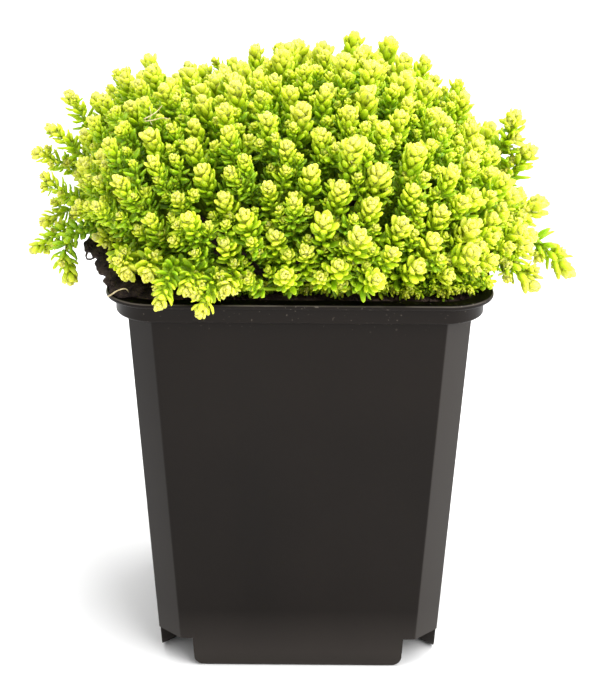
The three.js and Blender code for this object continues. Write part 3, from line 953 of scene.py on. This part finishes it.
def stem_tube(stem, radius, tip_radius, sides, steps, deepest, highest):
    """A tapering tube along the stem, from deepest to highest, both as distances below the tip."""
    below = np.linspace(min(stem.length, deepest), highest, steps + 1)
    turns = 2 * math.pi * np.arange(sides) / sides
    rings = []
    for k, distance in enumerate(below):
        point, _, out, _ = leaf_frames(stem, np.full(sides, distance), turns)
        rings.append(point + out * between((radius, tip_radius), k / steps))
    faces = [(b, a, d, c) for a, b, c, d in band_faces(0, sides, steps)]
    faces.append(tuple(range(sides)))
    faces.append(tuple(steps * sides + k for k in reversed(range(sides))))
    return np.concatenate(rings), faces


# Meshes and pieces


def new_object(name, data):
    made = bpy.data.objects.new(name, data)
    bpy.context.scene.collection.objects.link(made)
    return made


def mesh_object(name, vertices, faces):
    """A new object from vertices in millimetres."""
    mesh = bpy.data.meshes.new(name)
    mesh.from_pydata((np.asarray(vertices) * MM).tolist(), [], faces)
    mesh.polygons.foreach_set("use_smooth", [True] * len(mesh.polygons))
    mesh.update()
    return new_object(name, mesh)


def paint(made, name, values):
    """Stores one colour per vertex under a name that a material can read."""
    attribute = made.data.attributes.new(name, "FLOAT_COLOR", "POINT")
    attribute.data.foreach_set("color", np.asarray(values, np.float32).ravel())


def finish_piece(made, material, slot, *nodes):
    made.data.materials.append(material)
    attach(made, "root")
    if nodes:
        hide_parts(*nodes)


# Materials


class Shader:
    """A material's node tree, with short calls to add and join its nodes."""

    def __init__(self, name):
        self.material = bpy.data.materials.new(name)
        self.material.use_nodes = True
        self.nodes = self.material.node_tree.nodes
        self.links = self.material.node_tree.links
        self.nodes.clear()
        self.surface = self.add("ShaderNodeBsdfPrincipled")
        output = self.add("ShaderNodeOutputMaterial")
        self.links.new(self.surface.outputs[0], output.inputs["Surface"])

    def add(self, kind, inputs=None, **settings):
        node = self.nodes.new(kind)
        for key, value in settings.items():
            setattr(node, key, value)
        for key, value in (inputs or {}).items():
            self.put(node.inputs[key], value)
        return node

    def put(self, socket, value):
        """Joins a node's output to the socket, or sets the socket to a value."""
        if isinstance(value, bpy.types.NodeSocket):
            self.links.new(value, socket)
        elif socket.type == "RGBA":
            socket.default_value = (*value, 1.0)
        else:
            socket.default_value = value

    def finished(self, values):
        """The material, with its surface's sockets set or joined by name."""
        for key, value in values.items():
            self.put(self.surface.inputs[key], value)
        return self.material

    def place(self):
        return self.add("ShaderNodeTexCoord").outputs["Object"]

    def parts(self, vector):
        return self.add("ShaderNodeSeparateXYZ", {"Vector": vector}).outputs

    def noise(self, scale, detail, roughness=0.5, vector=None):
        """Noise with features about 1 / scale metres across."""
        place = self.place() if vector is None else vector
        values = {"Vector": place, "Scale": scale, "Detail": detail, "Roughness": roughness}
        return self.add("ShaderNodeTexNoise", values).outputs["Fac"]

    def maths(self, operation, first, second, clamped=False):
        values = {0: first, 1: second}
        node = self.add("ShaderNodeMath", values, operation=operation, use_clamp=clamped)
        return node.outputs[0]

    def spread(self, value, low, high, new_low, new_high):
        values = {"Value": value, 1: low, 2: high, 3: new_low, 4: new_high}
        return self.add("ShaderNodeMapRange", values).outputs[0]

    def mix(self, share, first, second, blend="MIX"):
        node = self.add("ShaderNodeMix", data_type="RGBA", blend_type=blend)
        self.put(node.inputs[0], share)
        self.put(node.inputs[6], first)
        self.put(node.inputs[7], second)
        return node.outputs[2]

    def ramp(self, value, stops):
        node = self.add("ShaderNodeValToRGB", {"Fac": value})
        elements = node.color_ramp.elements
        while len(elements) < len(stops):
            elements.new(0.5)
        for element, (place, colour) in zip(elements, stops):
            element.position = place
            element.color = (*colour, 1.0)
        return node.outputs["Color"]

    def bump(self, height, distance, strength=1.0):
        values = {"Height": height, "Distance": distance, "Strength": strength}
        return self.add("ShaderNodeBump", values).outputs["Normal"]


def leaf_material():
    """Older towards each leaf's base and in blotches, and different from head to head."""
    shader = Shader("stonecrop_leaf")
    growth = shader.add("ShaderNodeAttribute", attribute_name="growth")
    parts = shader.add("ShaderNodeSeparateColor", {"Color": growth.outputs["Color"]})
    age, along, tone = parts.outputs
    older = shader.maths("ADD", age, shader.spread(along, 0, 1, 0.08, -0.08))
    blotch = shader.spread(shader.noise(420, 2.0), 0.3, 0.7, -0.06, 0.06)
    older = shader.maths("ADD", older, blotch)
    older = shader.maths("ADD", older, shader.spread(tone, 0, 1, -0.07, 0.09), clamped=True)
    skin = shader.noise(5200, 2.0)
    return shader.finished({
        "Base Color": shader.ramp(older, LEAF_COLOURS),
        "Roughness": shader.spread(skin, 0.3, 0.7, 0.38, 0.52),
        "Normal": shader.bump(skin, 0.00004, 0.5),
        "Subsurface Weight": 0.7,
        "Subsurface Radius": (1.0, 1.0, 0.2),
        "Subsurface Scale": 0.0022,
        "Specular IOR Level": 0.4,
    })


def stem_material():
    shader = Shader("stonecrop_stem")
    grain = shader.noise(900, 3.0)
    return shader.finished({
        "Base Color": shader.ramp(grain, STEM_COLOURS),
        "Roughness": 0.75,
        "Normal": shader.bump(grain, 0.0001),
        "Specular IOR Level": 0.15,
    })


def plain_plastic(shader):
    """The black of the pot, with tall streaks that are flow lines in the gloss and painted soft
    reflections in the tint; gives the tint and the streaks.
    """
    squeeze = {0: shader.place(), 1: (1, 1, 0.12)}
    tall = shader.add("ShaderNodeVectorMath", squeeze, operation="MULTIPLY").outputs[0]
    # Tall streaks: flow lines in the gloss, and painted reflections where they lighten the tint
    flow_and_sheen_streaks = shader.noise(60, 2.0, vector=tall)
    share = shader.spread(shader.maths("ADD", shader.noise(28, 2.0), flow_and_sheen_streaks), 0.75, 1.25, 0, 1)
    return shader.mix(share, PLASTIC_DARK, PLASTIC_LIGHT), flow_and_sheen_streaks


def body_painted_light(shader, tint, height, facing):
    """Painted light on the body: paler near the foot as painted bounce light from the floor, a painted
    sheen towards the collar, and painted reflections on the cut corners.
    """
    # Painted bounce light: the body is paler near its foot, as if lit from the floor
    painted_bounce_near_foot = shader.spread(height, 0.004, 0.016, 0.6, 0.05)
    tint = shader.mix(painted_bounce_near_foot, tint, PAINTED_FLOOR_BOUNCE)
    # Painted sheen: paler towards the collar
    upper = shader.spread(height, 0.055, 0.094, 0, 0.14)
    tint = shader.mix(upper, tint, PAINTED_UPPER_SHEEN)
    # Painted reflections on the cut corners: the right one lighter all the way up, the left one lighter
    # towards the foot
    sideways = shader.maths("ABSOLUTE", facing["X"], 0)
    frontways = shader.maths("ABSOLUTE", facing["Y"], 0)
    on_corner = shader.spread(shader.maths("MULTIPLY", sideways, frontways), 0.30, 0.45, 0, 1)
    left_painted_light = shader.spread(height, 0.0, 0.085, 0.42, 0.05)
    below_collar = shader.spread(height, 0.0935, 0.0945, 1, 0)
    corner_painted_light = shader.spread(facing["X"], -0.1, 0.1, left_painted_light, 0.48)
    corner_painted_light = shader.maths("MULTIPLY", corner_painted_light, below_collar)
    return shader.mix(shader.maths("MULTIPLY", on_corner, corner_painted_light), tint, PAINTED_CORNER_REFLECTION)


def lip_painted_light_and_scuffs(shader, tint, height, facing):
    """Painted shade on the lip's flat top, and scuffs with a painted highlight along its edge; gives
    the tint and the mask of the flat top's painted shade.
    """
    on_lip = shader.spread(height, 0.0988, 0.0992, 0, 1)
    # Painted shade on the lip's flat top
    painted_shade_on_top = shader.maths("MULTIPLY", shader.spread(facing["Z"], 0.85, 0.97, 0, 1), on_lip)
    tint = shader.mix(painted_shade_on_top, tint, PAINTED_LIP_TOP_SHADE)
    # Scuffs and a painted highlight on the part of the lip's edge that faces up and out
    tilt = shader.maths("ABSOLUTE", shader.maths("SUBTRACT", facing["Z"], 0.62), 0)
    scuffed_highlit_edge = shader.maths("MULTIPLY", shader.spread(tilt, 0.15, 0.34, 1, 0), on_lip)
    patchy = shader.spread(shader.noise(70, 2.0), 0.38, 0.6, 0.15, 0.9)
    return shader.mix(shader.maths("MULTIPLY", scuffed_highlit_edge, patchy), tint, LIP_SCUFFS_AND_HIGHLIGHT), painted_shade_on_top


def pot_material():
    shader = Shader("pot_plastic")
    coordinates = shader.add("ShaderNodeTexCoord").outputs
    height = shader.parts(coordinates["Object"])["Z"]
    facing = shader.parts(coordinates["Normal"])
    tint, flow_and_sheen_streaks = plain_plastic(shader)
    tint = body_painted_light(shader, tint, height, facing)
    tint, painted_shade_on_top = lip_painted_light_and_scuffs(shader, tint, height, facing)
    near_rim = shader.spread(height, 0.090, 0.098, 0, 1)
    speck = shader.spread(shader.noise(1500, 1.0, 0.3), 0.72, 0.78, 0, 0.7)
    dusty = shader.maths("MULTIPLY", speck, near_rim)
    gloss = shader.spread(flow_and_sheen_streaks, 0.3, 0.7, 0.33, 0.45)
    return shader.finished({
        "Base Color": shader.mix(dusty, tint, RIM_SPECKS),
        "Roughness": shader.maths("ADD", gloss, shader.maths("MULTIPLY", dusty, 0.3)),
        "Normal": shader.bump(shader.noise(2600, 2.0), 0.00003, 0.4),
        # Less specular on the lip's flat top, along with its painted shade
        "Specular IOR Level": shader.spread(painted_shade_on_top, 0, 1, 0.10, 0.02),
    })


def fibre_material(name, colours):
    shader = Shader(name)
    grain = shader.noise(1400, 3.0)
    return shader.finished({
        "Base Color": shader.ramp(grain, colours),
        "Roughness": 0.7,
        "Normal": shader.bump(grain, 0.00005),
    })


def soil_material():
    """Peat with pale specks; the soil inside the pot, shaded by the rim and the plant, has painted
    light that makes it lighter than the heap.
    """
    shader = Shader("peat_soil")
    coarse = shader.noise(380, 5.0, 0.65)
    fine = shader.noise(2400, 4.0, 0.7)
    level = shader.parts(shader.place())["Z"]
    # Painted light inside the pot, where the rim and the plant shade the soil
    painted_light_in_pot = shader.spread(level, 0.0992, 0.1002, 1, 0)
    earth = shader.mix(painted_light_in_pot, shader.ramp(coarse, SOIL_COLOURS), SOIL_IN_POT_PAINTED_LIGHT, "MULTIPLY")
    pale = shader.spread(fine, 0.64, 0.70, 0, 1)
    lumps = shader.maths("ADD", coarse, shader.maths("MULTIPLY", fine, 0.5))
    return shader.finished({
        "Base Color": shader.mix(pale, earth, SOIL_PALE),
        "Roughness": 0.95,
        "Normal": shader.bump(lumps, 0.0006),
        "Specular IOR Level": 0.2,
    })


def floor_material():
    shader = Shader("studio_floor")
    return shader.finished({
        "Base Color": shader.ramp(shader.noise(3, 2.0), FLOOR_COLOURS),
        "Roughness": 0.9,
        "Specular IOR Level": 0.1,
    })


# Pot and soil


def arc(x, y, radius, turns):
    """Points round (x, y), one at each turn in radians."""
    return np.stack([x + radius * np.cos(turns), y + radius * np.sin(turns)], 1)


def cut_corner(half, cut):
    """Points of a cut corner of a square, with its two edges rounded a little."""
    near = half - cut - BODY_FILLET * math.tan(math.pi / 8)
    far = half - BODY_FILLET
    turns = np.linspace(0, math.pi / 4, CORNER_POINTS // 2)
    first = arc(far, near, BODY_FILLET, turns)
    second = arc(near, far, BODY_FILLET, turns + math.pi / 4)
    return np.vstack([first, second])


def quarter_turn(number):
    """The matrix that turns points, as rows, by a number of right angles."""
    turn = number * math.pi / 2
    return np.array([[math.cos(turn), math.sin(turn)], [-math.sin(turn), math.cos(turn)]])


def square_ring(corner):
    """A closed ring from one corner's points, turned to all four corners, with points between."""
    ring = []
    for quarter in range(4):
        points = corner @ quarter_turn(quarter)
        following = corner[0] @ quarter_turn(quarter + 1)
        ring.extend(points)
        for k in range(1, SIDE_POINTS + 1):
            ring.append(points[-1] + (following - points[-1]) * k / (SIDE_POINTS + 1))
    return np.array(ring)


def body_ring(z, inset):
    """The body's cut square at a height, set in from its outside."""
    share = z / COLLAR_BOTTOM
    half = between((BODY_FOOT_HALF, BODY_TOP_HALF), share) - inset
    cut = between((CHAMFER_FOOT, CHAMFER_TOP), share) - inset * (2 - math.sqrt(2))
    return square_ring(cut_corner(half, cut))


def collar_ring(half, radius):
    """A square with round corners."""
    turns = np.linspace(0, math.pi / 2, CORNER_POINTS)
    return square_ring(arc(half - radius, half - radius, radius, turns))


def loft(levels):
    """A closed solid through rings at their heights; levels is a list of (z, ring)."""
    vertices = [np.column_stack([ring, np.full(len(ring), z)]) for z, ring in levels]
    count = len(vertices[0])
    faces = band_faces(0, count, len(levels) - 1)
    faces.append(tuple(reversed(range(count))))
    faces.append(tuple((len(levels) - 1) * count + k for k in range(count)))
    return np.concatenate(vertices), faces


def rounding(radius, steps):
    """(set-back, rise) pairs of a quarter round, from full set-back to none."""
    turns = np.linspace(0, math.pi / 2, steps)
    return [(radius * (1 - math.sin(t)), radius * (1 - math.cos(t))) for t in turns]


def pot_outside():
    levels = []
    for back, rise in rounding(FOOT_ROUND, 4):
        levels.append((rise, body_ring(rise, back)))
    for z in np.linspace(WALL_START_Z, COLLAR_BOTTOM - WALL_END_GAP, 12):
        levels.append((z, body_ring(z, 0)))
    for back, rise in reversed(rounding(SHOULDER_ROUND, 4)):
        levels.append((COLLAR_BOTTOM - rise, body_ring(COLLAR_BOTTOM, back - SHOULDER_ROUND)))
    for back, rise in rounding(COLLAR_ROUND, 5):
        levels.append((COLLAR_BOTTOM + rise, collar_ring(COLLAR_HALF - back, COLLAR_RADIUS - back)))
    under_lip = POT_HEIGHT - LIP_THICKNESS
    for below, out in UNDER_LIP:
        levels.append((under_lip - below, collar_ring(COLLAR_HALF + out, COLLAR_RADIUS)))
    for back, rise in rounding(LIP_ROUND, 5):
        levels.append((under_lip + rise, collar_ring(LIP_HALF - back, LIP_RADIUS - back)))
    for back, rise in reversed(rounding(LIP_ROUND, 5)):
        levels.append((POT_HEIGHT - rise, collar_ring(LIP_HALF - back, LIP_RADIUS - back)))
    return loft(levels)


def pot_room(clear):
    """Levels of the room in the pot up to the collar's foot, less a layer of the thickness clear."""
    inset = WALL + clear
    levels = [(inset, body_ring(0, inset))]
    for z in np.linspace(WALL_START_Z, COLLAR_BOTTOM + inset, 6):
        levels.append((z, body_ring(min(z, COLLAR_BOTTOM), inset)))
    half, radius = COLLAR_HALF - inset, COLLAR_RADIUS - inset
    levels.append((COLLAR_BOTTOM + inset + COLLAR_STEP, collar_ring(half, radius)))
    return levels, half, radius


def channel_cross(grow, edge):
    """The raised cross under the pot, as two crossing bars with an open foot edge radius."""
    half = CHANNEL_HALF + grow
    outline = [(-half, FOOT_HEIGHT + grow)]
    if edge:
        turns = np.linspace(0, math.pi / 2, 7)
        outline += [(-half - edge + edge * math.cos(t), edge - edge * math.sin(t)) for t in turns]
    outline.append((-half - edge, BELOW_FOOT_Z))
    outline += [(-x, z) for x, z in reversed(outline)]
    count = len(outline)
    reach = 2 * BODY_TOP_HALF
    made = []
    for turn in (math.pi / 4, -math.pi / 4):
        way = vec(math.cos(turn), math.sin(turn))
        across = vec(-way[1], way[0])
        vertices = [(*(way * end + across * x), z) for end in (-reach, reach) for x, z in outline]
        faces = band_faces(0, count, 1)
        faces.append(tuple(reversed(range(count))))
        faces.append(tuple(range(count, 2 * count)))
        made.append((vertices, faces))
    return made


def drain_hole(x, y, radius):
    turns = 2 * math.pi * np.arange(HOLE_SIDES) / HOLE_SIDES
    ring = arc(x, y, radius, turns)
    return loft([(FOOT_HEIGHT - WALL, ring), (FOOT_HEIGHT + 2 * WALL, ring)])


def carve(target, solid):
    """Cuts a solid, given as (vertices, faces), out of an object's mesh."""
    cutter = solid_object("cutter", *solid)
    change = target.modifiers.new("carve", "BOOLEAN")
    change.operation = "DIFFERENCE"
    change.solver = "EXACT"
    change.object = cutter
    graph = bpy.context.evaluated_depsgraph_get()
    carved = bpy.data.meshes.new_from_object(target.evaluated_get(graph))
    target.modifiers.clear()
    old = target.data
    target.data = carved
    bpy.data.meshes.remove(old)
    bpy.data.objects.remove(cutter)


def edit_mesh(made, change):
    """Lets a function change an object's mesh."""
    shape = bmesh.new()
    shape.from_mesh(made.data)
    change(shape)
    shape.to_mesh(made.data)
    shape.free()


def solid_object(name, vertices, faces):
    """A new object from a closed solid, with its faces turned outwards."""
    made = mesh_object(name, vertices, faces)
    edit_mesh(made, lambda shape: bmesh.ops.recalc_face_normals(shape, faces=shape.faces))
    return made


def crease(made, degrees):
    """Smooth shading, with edges sharper than the angle kept crisp."""

    def shade(shape):
        for face in shape.faces:
            face.smooth = True
        for edge in shape.edges:
            edge.smooth = len(edge.link_faces) == 2 and edge.calc_face_angle(0) < math.radians(degrees)

    edit_mesh(made, shade)


def pot_inside():
    """The room inside the pot up through its rim, with the raised cross left standing."""
    levels, half, radius = pot_room(0)
    levels.append((POT_HEIGHT - RIM_ROUND, collar_ring(half, radius)))
    for back, rise in reversed(rounding(RIM_ROUND, 4)):
        out = RIM_ROUND - back
        levels.append((POT_HEIGHT - rise, collar_ring(half + out, radius + out)))
    levels.append((POT_HEIGHT + 1, collar_ring(half + RIM_ROUND, radius + RIM_ROUND)))
    room = solid_object("pot_room", *loft(levels))
    for bar in channel_cross(WALL, 0):
        carve(room, bar)
    vertices = np.array([vertex.co for vertex in room.data.vertices]) / MM
    faces = [tuple(face.vertices) for face in room.data.polygons]
    bpy.data.objects.remove(room)
    return vertices, faces


def nursery_pot():
    pot = solid_object("nursery_pot_shell", *pot_outside())
    for bar in channel_cross(0, FOOT_EDGE_RADIUS):
        carve(pot, bar)
    carve(pot, pot_inside())
    carve(pot, drain_hole(0, 0, MIDDLE_DRAIN_RADIUS))
    for side_x in (-1, 1):
        for side_y in (-1, 1):
            carve(pot, drain_hole(side_x * DRAIN_OFFSET, side_y * DRAIN_OFFSET, DRAIN_RADIUS))
    crease(pot, POT_CREASE)
    finish_piece(pot, pot_material(), "pot_plastic", "nursery_pot")


def roughness(point, layers):
    """Smooth noise at a point in millimetres, summed over layers of (height, size, salt)."""
    x, y, z = point
    return sum(
        height * noise.noise(Vector((x / size, y / size, z / size + salt)))
        for height, size, salt in layers
    )


def soil_fill():
    """The filling of the pot, with a crumbly top."""
    levels, half, radius = pot_room(GAP)
    levels.append((SOIL_EDGE_Z - SOIL_BEVEL, collar_ring(half, radius)))
    for k in range(SOIL_RINGS):
        share = 1 - k / SOIL_RINGS
        levels.append((SOIL_EDGE_Z, collar_ring(half * share, max(radius * share, SOIL_INMOST))))
    vertices, faces = loft(levels)
    top = len(levels[0][1]) * (len(levels) - SOIL_RINGS)
    for k in range(top, len(vertices)):
        x, y, _ = vertices[k]
        vertices[k] = (x, y, crown_level(x, y) + roughness((x, y, 0), SOIL_LAYERS))
    return vertices, faces


def ball(steps_round, steps_up):
    """A unit ball's vertices and faces."""
    vertices = [(0, 0, -1)]
    for level in range(1, steps_up):
        tilt = -math.pi / 2 + math.pi * level / steps_up
        flat, up = math.cos(tilt), math.sin(tilt)
        for k in range(steps_round):
            turn = 2 * math.pi * k / steps_round
            vertices.append((flat * math.cos(turn), flat * math.sin(turn), up))
    vertices.append((0, 0, 1))
    return np.array(vertices), spindle_faces(steps_round, steps_up - 1)


def heap_lump(at, size):
    """One lump of the loose heap, with a crumbly skin."""
    vertices, faces = ball(40, 20)
    shaped = []
    for point in vertices:
        place = point * vec(*size) + vec(*at)
        shaped.append(place + point * roughness(place, LUMP_LAYERS))
    return np.array(shaped), faces


def crumb(rng, place, size):
    vertices, faces = ball(6, 4)
    stretch = between(CRUMB_STRETCH, rng.random(3))
    jitter = 1 + CRUMB_JITTER * rng.normal(size=len(vertices))
    turn = Matrix.Rotation(rng.random() * CRUMB_TURN, 3, Vector(rng.normal(size=3)))
    shaped = vertices * jitter[:, None] * stretch * size
    return shaped @ np.array(turn).T + place, faces


def join(solids):
    """Several (vertices, faces) as one."""
    vertices, faces, offset = [], [], 0
    for points, polygons in solids:
        vertices.append(np.asarray(points))
        faces.extend(renumbered(polygons, offset))
        offset += len(points)
    return np.concatenate(vertices), faces


def merge_into(target, other):
    """Adds another object's mesh to the target's, and removes that object."""
    edit_mesh(target, lambda shape: shape.from_mesh(other.data))
    bpy.data.objects.remove(other)


def top_crumbs(rng):
    """Crumbs on the filling, most of them in a band behind the front of the rim."""
    reach = COLLAR_HALF - WALL - CRUMB_FROM_WALL
    made = []
    for number in range(TOP_CRUMBS):
        x, y = (2 * rng.random(2) - 1) * reach
        if number % 3 > 0:
            y = -reach + FRONT_BAND * rng.random()
        size = between(TOP_CRUMB, rng.random() ** 3)
        made.append(crumb(rng, vec(x, y, soil_level(x, y) + CRUMB_LIFT), size))
    return made


def heap_crumbs(lumps, rng):
    """Crumbs on the heap, where it stands above the rim."""
    made = []
    for number in range(HEAP_CRUMBS):
        at, size = lumps[number % len(lumps)]
        way = unit(rng.normal(size=3))
        way[2] = abs(way[2])
        place = vec(*at) + way * vec(*size)
        if place[2] > POT_HEIGHT + CRUMB_LIFT:
            made.append(crumb(rng, place, between(HEAP_CRUMB, rng.random() ** 2)))
    return made


def potting_soil():
    rng = np.random.default_rng(SOIL_SEED)
    lumps = HEAP_LUMPS + CORNER_LUMPS
    solids = [heap_lump(at, size) for at, size in lumps] + top_crumbs(rng) + heap_crumbs(lumps, rng)
    loose = mesh_object("loose_soil", *join(solids))
    soil = solid_object("potting_soil_crumbly", *soil_fill())
    for bar in channel_cross(WALL + GAP, 0):
        carve(soil, bar)
    merge_into(soil, loose)
    crease(soil, SOIL_CREASE)
    finish_piece(soil, soil_material(), "peat_soil", "potting_soil")


# The plant's pieces


def fibre(radius, points):
    stem = Stem(CatmullRom([vec(*point) for point in points]))
    return stem_tube(stem, radius, FIBRE_TAPER * radius, FIBRE_SIDES, FIBRE_STEPS, stem.length, 0)


def dead_fibres():
    """The dry filaments at the mound's upper left, the stalk at the rim and the root on the heap."""
    stalks = mesh_object("dry_stalks", *join([fibre(*row) for row in PALE_FIBRES]))
    finish_piece(stalks, fibre_material("dry_stalk", STALK_COLOURS), "stonecrop_leaf")
    root = mesh_object("bare_root", *fibre(*DARK_ROOT))
    finish_piece(root, fibre_material("root_bark", ROOT_COLOURS), "stonecrop_leaf")


def head_tube(head):
    """The stem of a head: whole for a head of the model's, and only its end for the others."""
    if head.large:
        return stem_tube(head.stem, *LARGE_TUBE, head.stem.length, INTO_BUD)
    return stem_tube(head.stem, *SMALL_TUBE, SMALL_TUBE_DEPTH, INTO_BUD)


def leafy_piece(node, heads, leaf, stem, rng):
    """One piece with all the leaves and stems of a node's heads."""
    foliage = Foliage()
    tubes = []
    for head in heads:
        grow_head(foliage, head, rng)
        tubes.append(head_tube(head))
    vertices, faces, growth, count = foliage.mesh()
    leaf_faces = len(faces)
    points, polygons = join(tubes)
    vertices.append(points)
    faces.extend(renumbered(polygons, count))
    growth.append(np.tile(STEM_GROWTH, (len(points), 1)))
    made = mesh_object(node + "_leafy", np.concatenate(vertices), faces)
    paint(made, "growth", np.concatenate(growth))
    finish_piece(made, leaf, "stonecrop_leaf", node)
    made.data.materials.append(stem)
    slots = np.zeros(len(faces), np.int32)
    slots[leaf_faces:] = 1
    made.data.polygons.foreach_set("material_index", slots)


def stonecrop():
    rng = np.random.default_rng(PLANT_SEED)
    clumps, strays = plant_plan()
    heads = mound_heads(clumps, strays, rng) + stray_heads(strays, rng) + sprig_heads(clumps, rng)
    by_node = {}
    for node, head in heads:
        by_node.setdefault(node, []).append(head)
    leaf, stem = leaf_material(), stem_material()
    for node, members in by_node.items():
        leafy_piece(node, members, leaf, stem, rng)


# Camera, floor and light


def camera():
    ahead = Vector((
        math.sin(CAMERA_AZIMUTH) * math.cos(CAMERA_ELEVATION),
        -math.cos(CAMERA_AZIMUTH) * math.cos(CAMERA_ELEVATION),
        math.sin(CAMERA_ELEVATION),
    ))
    side = Vector((math.cos(CAMERA_AZIMUTH), math.sin(CAMERA_AZIMUTH), 0))
    up = ahead.cross(side)
    right = math.cos(CAMERA_ROLL) * side + math.sin(CAMERA_ROLL) * up
    top = -math.sin(CAMERA_ROLL) * side + math.cos(CAMERA_ROLL) * up
    place = (Vector(CAMERA_AIM) + ahead * CAMERA_DISTANCE) * MM
    lens = bpy.data.cameras.new("camera")
    lens.lens = CAMERA_LENS
    lens.sensor_width = SENSOR
    made = new_object("camera", lens)
    made.matrix_world = Matrix.Translation(place) @ Matrix((right, top, ahead)).transposed().to_4x4()
    bpy.context.scene.camera = made


def soft_light(name, place, size, power):
    light = bpy.data.lights.new(name, "AREA")
    light.shape = "RECTANGLE"
    light.size, light.size_y = size
    light.energy = power
    made = new_object(name, light)
    made.location = place
    made.rotation_euler = (Vector(LIGHT_AIM) - Vector(place)).to_track_quat("-Z", "Y").to_euler()


def studio():
    signs = ((-1, -1), (1, -1), (1, 1), (-1, 1))
    corners = [(x * FLOOR_HALF, y * FLOOR_HALF, FLOOR_Z) for x, y in signs]
    floor = mesh_object("studio_floor", corners, [(0, 1, 2, 3)])
    floor.data.materials.append(floor_material())
    for light in LIGHTS:
        soft_light(*light)
    world = bpy.data.worlds.new("studio")
    world.use_nodes = True
    world.node_tree.nodes["Background"].inputs["Color"].default_value = (1, 1, 1, 1)
    world.node_tree.nodes["Background"].inputs["Strength"].default_value = WORLD_STRENGTH
    scene = bpy.context.scene
    scene.world = world
    scene.view_settings.view_transform = "Standard"
    scene.view_settings.look = "None"


camera()
studio()
nursery_pot()
potting_soil()
dead_fibres()
stonecrop()
